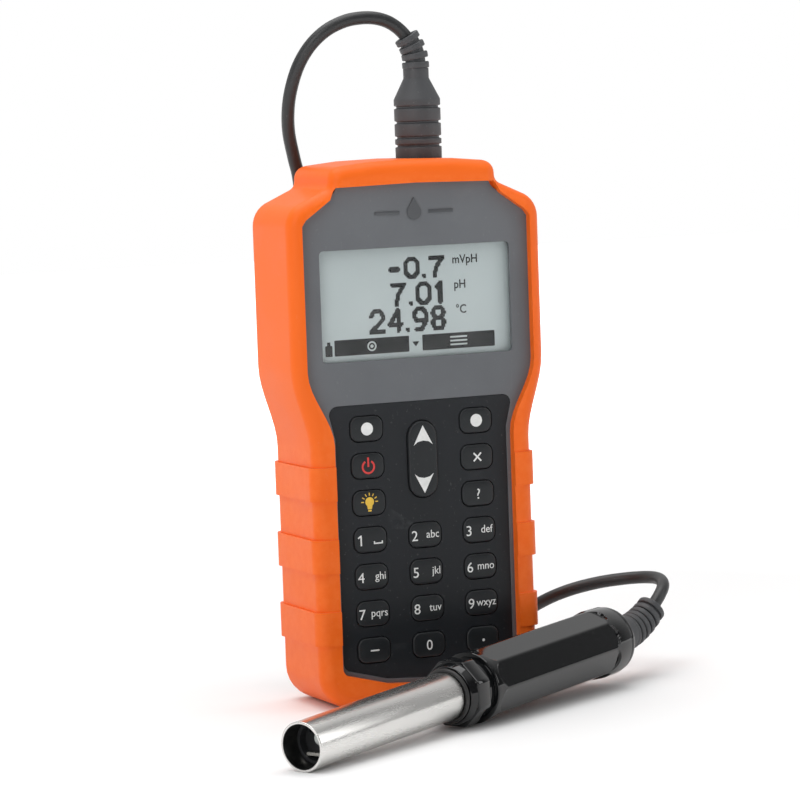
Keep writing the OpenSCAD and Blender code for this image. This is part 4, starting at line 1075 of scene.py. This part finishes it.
def makeReliefs():
    low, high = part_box("plug_relief")
    foot = uprightPlace("plug_body").translation
    start = Matrix.Translation((foot.x, foot.y, low.z))
    pitch = plugRelief["pitch"] * mm
    axis = bentAxis(start, plugRelief["turn"], 4, pitch)
    # the rings sit half their own width up each step
    mids = [a.lerp(b, 0.31) for a, b in zip(axis, axis[1:])]
    piece = makeRelief("plugRelief", catmull(mids, 6), {
        "Rings": 4, "First Radius": (plugRelief["first"] - 0.8) * mm,
        "Last Radius": (plugRelief["last"] - 0.8) * mm,
        "Ring Width": 2.25 * mm, "Ring Depth": 1.7 * mm, "Core Radius": plugRelief["core"] * mm})
    settle(piece, ["plug_relief"])
    foot = probe["handle"] + probe["handleLength"] + probe["capLength"]
    place = (probePlace @ Matrix.Translation(((foot + 0.02) * mm, 0, 0))
             @ Matrix.Rotation(math.pi / 2, 4, "Y"))
    pitch = probeRelief["pitch"] * mm
    axis = bentAxis(place, probeRelief["turn"], 6, pitch, probeRelief["straight"] * mm)
    mids = [a.lerp(b, 0.31) for a, b in zip(axis[1:], axis[2:])]
    ribs = makeRelief("probeRelief", catmull(mids, 6), {
        "Rings": 6, "First Radius": (probeRelief["first"] - 1.0) * mm,
        "Last Radius": (probeRelief["last"] - 1.0) * mm,
        "Ring Width": 2.3 * mm, "Ring Depth": 2.0 * mm, "Core Radius": probeRelief["core"] * mm})
    settle(ribs, ["probe_relief"])
    r, l = probeRelief["straightRadius"], probeRelief["straight"]
    line = softLine([(foot, 0.0), (foot, r - 0.2), (foot + 1, r), (foot + l, r - 0.1),
                     (foot + l, 4.0), (foot + l, 0.0)], 0.4)
    root = lathePiece("reliefRoot", [(a * mm, b * mm) for a, b in line], probePlace, 72, 40)
    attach(root, "probe")
    root.data.materials.append(looks["plugRubber"])


makeReliefs()
print("plug and reliefs made")

# Probe



def probeLathe(name, line, soft, sides=112, joinEnds=False, sharpAngle=40):
    line = softLine(line, soft, 4, joinEnds)
    return lathePiece(name, [(a * mm, b * mm) for a, b in line], probePlace, sides, sharpAngle, joinEnds)


def makeSleeve():
    r, bore, plain = probe["sleeveRadius"], probe["bore"], probe["plain"]
    neck, end = probe["neck"], probe["sleeveEnd"]
    line = [(0, bore), (0, r), (plain, r), (plain, neck), (end, neck), (end, bore)]
    piece = probeLathe("steelSleeve", line, 0.28, 128, True)
    settle(piece, ["probe_sleeve"], "sleeveSteel")
    # the inner wall of the bore gets the dark copy of the steel: painted shade inside the tube
    piece.data.materials.append(looks["innerSteel"])
    for face in piece.data.polygons:
        if (probePlace.inverted() @ face.center).yz.length < (bore + 0.15) * mm:
            face.material_index = 1
    along, middle, thick = probe["seal"]
    seal = [(along + thick * math.cos(a), middle + thick * math.sin(a)) for a in around(20)]
    ring = lathePiece("sleeveSealRing", [(a * mm, b * mm) for a, b in seal], probePlace, 96, 60, True)
    settle(ring, ["sleeve_seal"], "sealRubber")


def eightSided(radius, angle, soft=0.985):
    # radius of an eight-sided outline at an angle, with its corners just rounded
    apothem = radius * math.cos(math.pi / 8)
    local = (angle + math.pi / 8) % (math.pi / 4) - math.pi / 8
    return min(apothem / math.cos(local), radius * soft)


def shapedRings(stations, sides):
    # stations hold (along, radius function of the angle)
    rings = []
    for along, shape in stations:
        rings.append([probePlace @ Vector((along * mm, shape(t) * mm * math.cos(t),
                                           shape(t) * mm * math.sin(t)))
                      for t in around(sides, 0.5)])
    return rings


def makeCollar():
    x, big = probe["collar"], probe["nutRadius"]
    flat = lambda r: (lambda t: r)
    nut = lambda r: (lambda t: eightSided(r, t))
    both = lambda r, limit: (lambda t: min(eightSided(r, t), limit))
    stations = [(x, flat(7.7)), (x, flat(9.3)), (x + 0.12, flat(9.5)), (x + 0.3, flat(9.62)),
                (x + 2.2, flat(10.3)),
                (x + 2.5, flat(10.4)), (x + 2.52, both(big - 0.9, 10.9)), (x + 2.6, both(big - 0.35, 11.15)),
                (x + 2.75, both(big - 0.08, 11.4)), (x + 3.0, nut(big)), (x + 8.5, nut(big)),
                (x + 8.75, both(big - 0.08, 11.4)), (x + 8.9, both(big - 0.35, 11.15)),
                (x + 8.98, both(big - 0.9, 10.9)), (x + 9.0, flat(10.4)), (x + 11.8, flat(10.4)),
                (x + 11.95, flat(10.2)), (x + 11.95, flat(7.7))]
    piece = loftPiece("nutCollar", shapedRings(stations, 192), 28, True)
    settle(piece, ["probe_collar"], "handleGloss")


def makeHandle():
    x, length, r = probe["handle"], probe["handleLength"], probe["handleRadius"]
    half, flatR = probe["panelWidth"] / 2, r - probe["panelDepth"]
    first, last = x + 7, x + length - 11

    def surface(along):
        def shape(t):
            local = t % (math.pi / 4) - math.pi / 8
            plane = flatR / math.cos(local)
            if plane >= r:
                return r
            side = flatR * math.tan(local)
            reach = math.sqrt(max(half * half - side * side, 0))
            depth = min(along - (first - reach), (last + reach) - along)
            return r - (r - plane) * ease(depth / 0.45 + 0.5)
        return shape

    ends = [(x + 0.02, lambda t: 6.0), (x + 0.02, lambda t: r - 0.45), (x + 0.12, lambda t: r - 0.2),
            (x + 0.35, lambda t: r - 0.04), (x + 0.7, lambda t: r)]
    stations = list(ends)
    stations += [(a, surface(a)) for a in np.arange(first - half - 0.6, first + 0.61, 0.2)]
    stations += [(a, surface(a)) for a in np.arange(first + 1.5, last - 1, 2.0)]
    stations += [(a, surface(a)) for a in np.arange(last - 0.6, last + half + 0.61, 0.2)]
    stations += [(x + length - 0.4, lambda t: r), (x + length - 0.1, lambda t: r - 0.06),
                 (x + length, lambda t: r - 0.25), (x + length, lambda t: 6.0)]
    piece = loftPiece("gripHandle", shapedRings(stations, 256), 24, True)
    settle(piece, ["probe_handle"], "handleGloss")
    end = x + length
    line = [(end - 5, 0), (end - 5, 8.8), (end + 0.03, 8.8), (end + 0.03, r - 0.35),
            (end + 2.6, probe["capRadius"]),
            (end + probe["capLength"], r - 2.2), (end + probe["capLength"], 0)]
    cap = probeLathe("handleEnd", line, 1.0)
    settle(cap, ["handle_cap"], "handleGloss")


def makeTip():
    # glass bulb in the recess of the core
    centre = probePlace @ Matrix.Translation((8.1 * mm, -2.2 * mm, 1.4 * mm))
    line = [(2.6 * math.cos(a) * -1, 2.6 * math.sin(a)) for a in (math.pi * k / 30 for k in range(0, 22))]
    line += [(2.2, 2.0), (14.0, 2.0), (14.0, 0.0)]
    bulb = lathePiece("glassBulb", [(a * mm, b * mm if i else 0) for i, (a, b) in enumerate(line)],
                       centre, 48)
    settle(bulb, ["sensor_bulb"], "bulbGlass")


makeSleeve()
makeCollar()
makeHandle()
makeTip()
print("probe made")

# Pieces around the cord, gathered in a list
partners = [coilStrap] + [bpy.data.objects[n] for n in ("plugGrip", "plugRelief")]
partners += [nodes[n] for n in ("plug_shell", "plug_pins")]

# Stage and lights
studio = {"floor": 3.0, "keyPower": 7.6, "topPower": 10.0, "fillPower": 4.2, "world": 0.75, "horizon": 0.1}


def makeStage():
    half = studio["floor"]
    mesh = bpy.data.meshes.new("studioFloor")
    corners = [(-half, -half, 0), (half, -half, 0), (half, half, 0), (-half, half, 0)]
    mesh.from_pydata(corners, [], [[0, 1, 2, 3]])
    floor = shown("studioFloor", mesh)
    paper = makeMaterial("floorPaper", (0.86, 0.86, 0.86), (0.88, 0.88, 0.88), (0.6, 0.75), 500, 0.01, 3)
    mesh.materials.append(paper)
    # the far paper glows, so that it runs into the white surroundings
    tree = paper.node_tree
    far = tree.nodes.new("ShaderNodeVectorMath")
    far.operation = "LENGTH"
    tree.links.new(tree.nodes.new("ShaderNodeTexCoord").outputs["Object"], far.inputs[0])
    glow = mixColour(tree, rangeNode(tree, far.outputs["Value"], 0.3, 1.0), (0, 0, 0), (1, 1, 1))
    shader = tree.nodes["Principled BSDF"]
    tree.links.new(glow, shader.inputs["Emission Color"])
    shader.inputs["Emission Strength"].default_value = 1.0


def areaLight(name, power, size, place, target, colour=(1, 1, 1)):
    data = bpy.data.lights.new(name, "AREA")
    data.shape = "RECTANGLE"
    data.size, data.size_y = size
    data.energy = power
    data.color = colour
    lamp = shown(name, data)
    lamp.location = place
    lamp.rotation_euler = (Vector(target) - Vector(place)).to_track_quat("-Z", "Y").to_euler()


def makeLights():
    world = bpy.data.worlds.new("studioWorld")
    scene.world = world
    world.use_nodes = True
    tree = world.node_tree
    back = tree.nodes["Background"]
    back.inputs["Color"].default_value = (1, 1, 1, 1)
    rays = tree.nodes.new("ShaderNodeLightPath")
    parts = tree.nodes.new("ShaderNodeSeparateXYZ")
    tree.links.new(tree.nodes.new("ShaderNodeTexCoord").outputs["Generated"], parts.inputs[0])
    # bright overhead and behind, dim towards the camera
    overhead = rangeNode(tree, parts.outputs["Z"], 0.6, 0.85)
    behind = rangeNode(tree, parts.outputs["Y"], -0.15, 0.35)
    bright = mathNode(tree, "MAXIMUM", overhead, behind)
    rise = rangeNode(tree, bright, 0, 1, studio["horizon"], studio["world"])
    strength = tree.nodes.new("ShaderNodeMix")
    tree.links.new(rays.outputs["Is Camera Ray"], strength.inputs[0])
    tree.links.new(rise, strength.inputs[2])
    strength.inputs[3].default_value = 1.0
    tree.links.new(strength.outputs[0], back.inputs["Strength"])
    areaLight("topSoftbox", studio["topPower"], (1.1, 1.1), (-0.1, 0.1, 1.2), (0, 0, 0.05))
    areaLight("keySoftbox", studio["keyPower"], (0.7, 1.0), (-1.1, -0.9, 0.8), (0, 0, 0.08))
    areaLight("fillSoftbox", studio["fillPower"], (0.6, 0.9), (1.2, -0.7, 0.6), (0, 0, 0.08))


makeStage()
makeLights()
print("stage made")
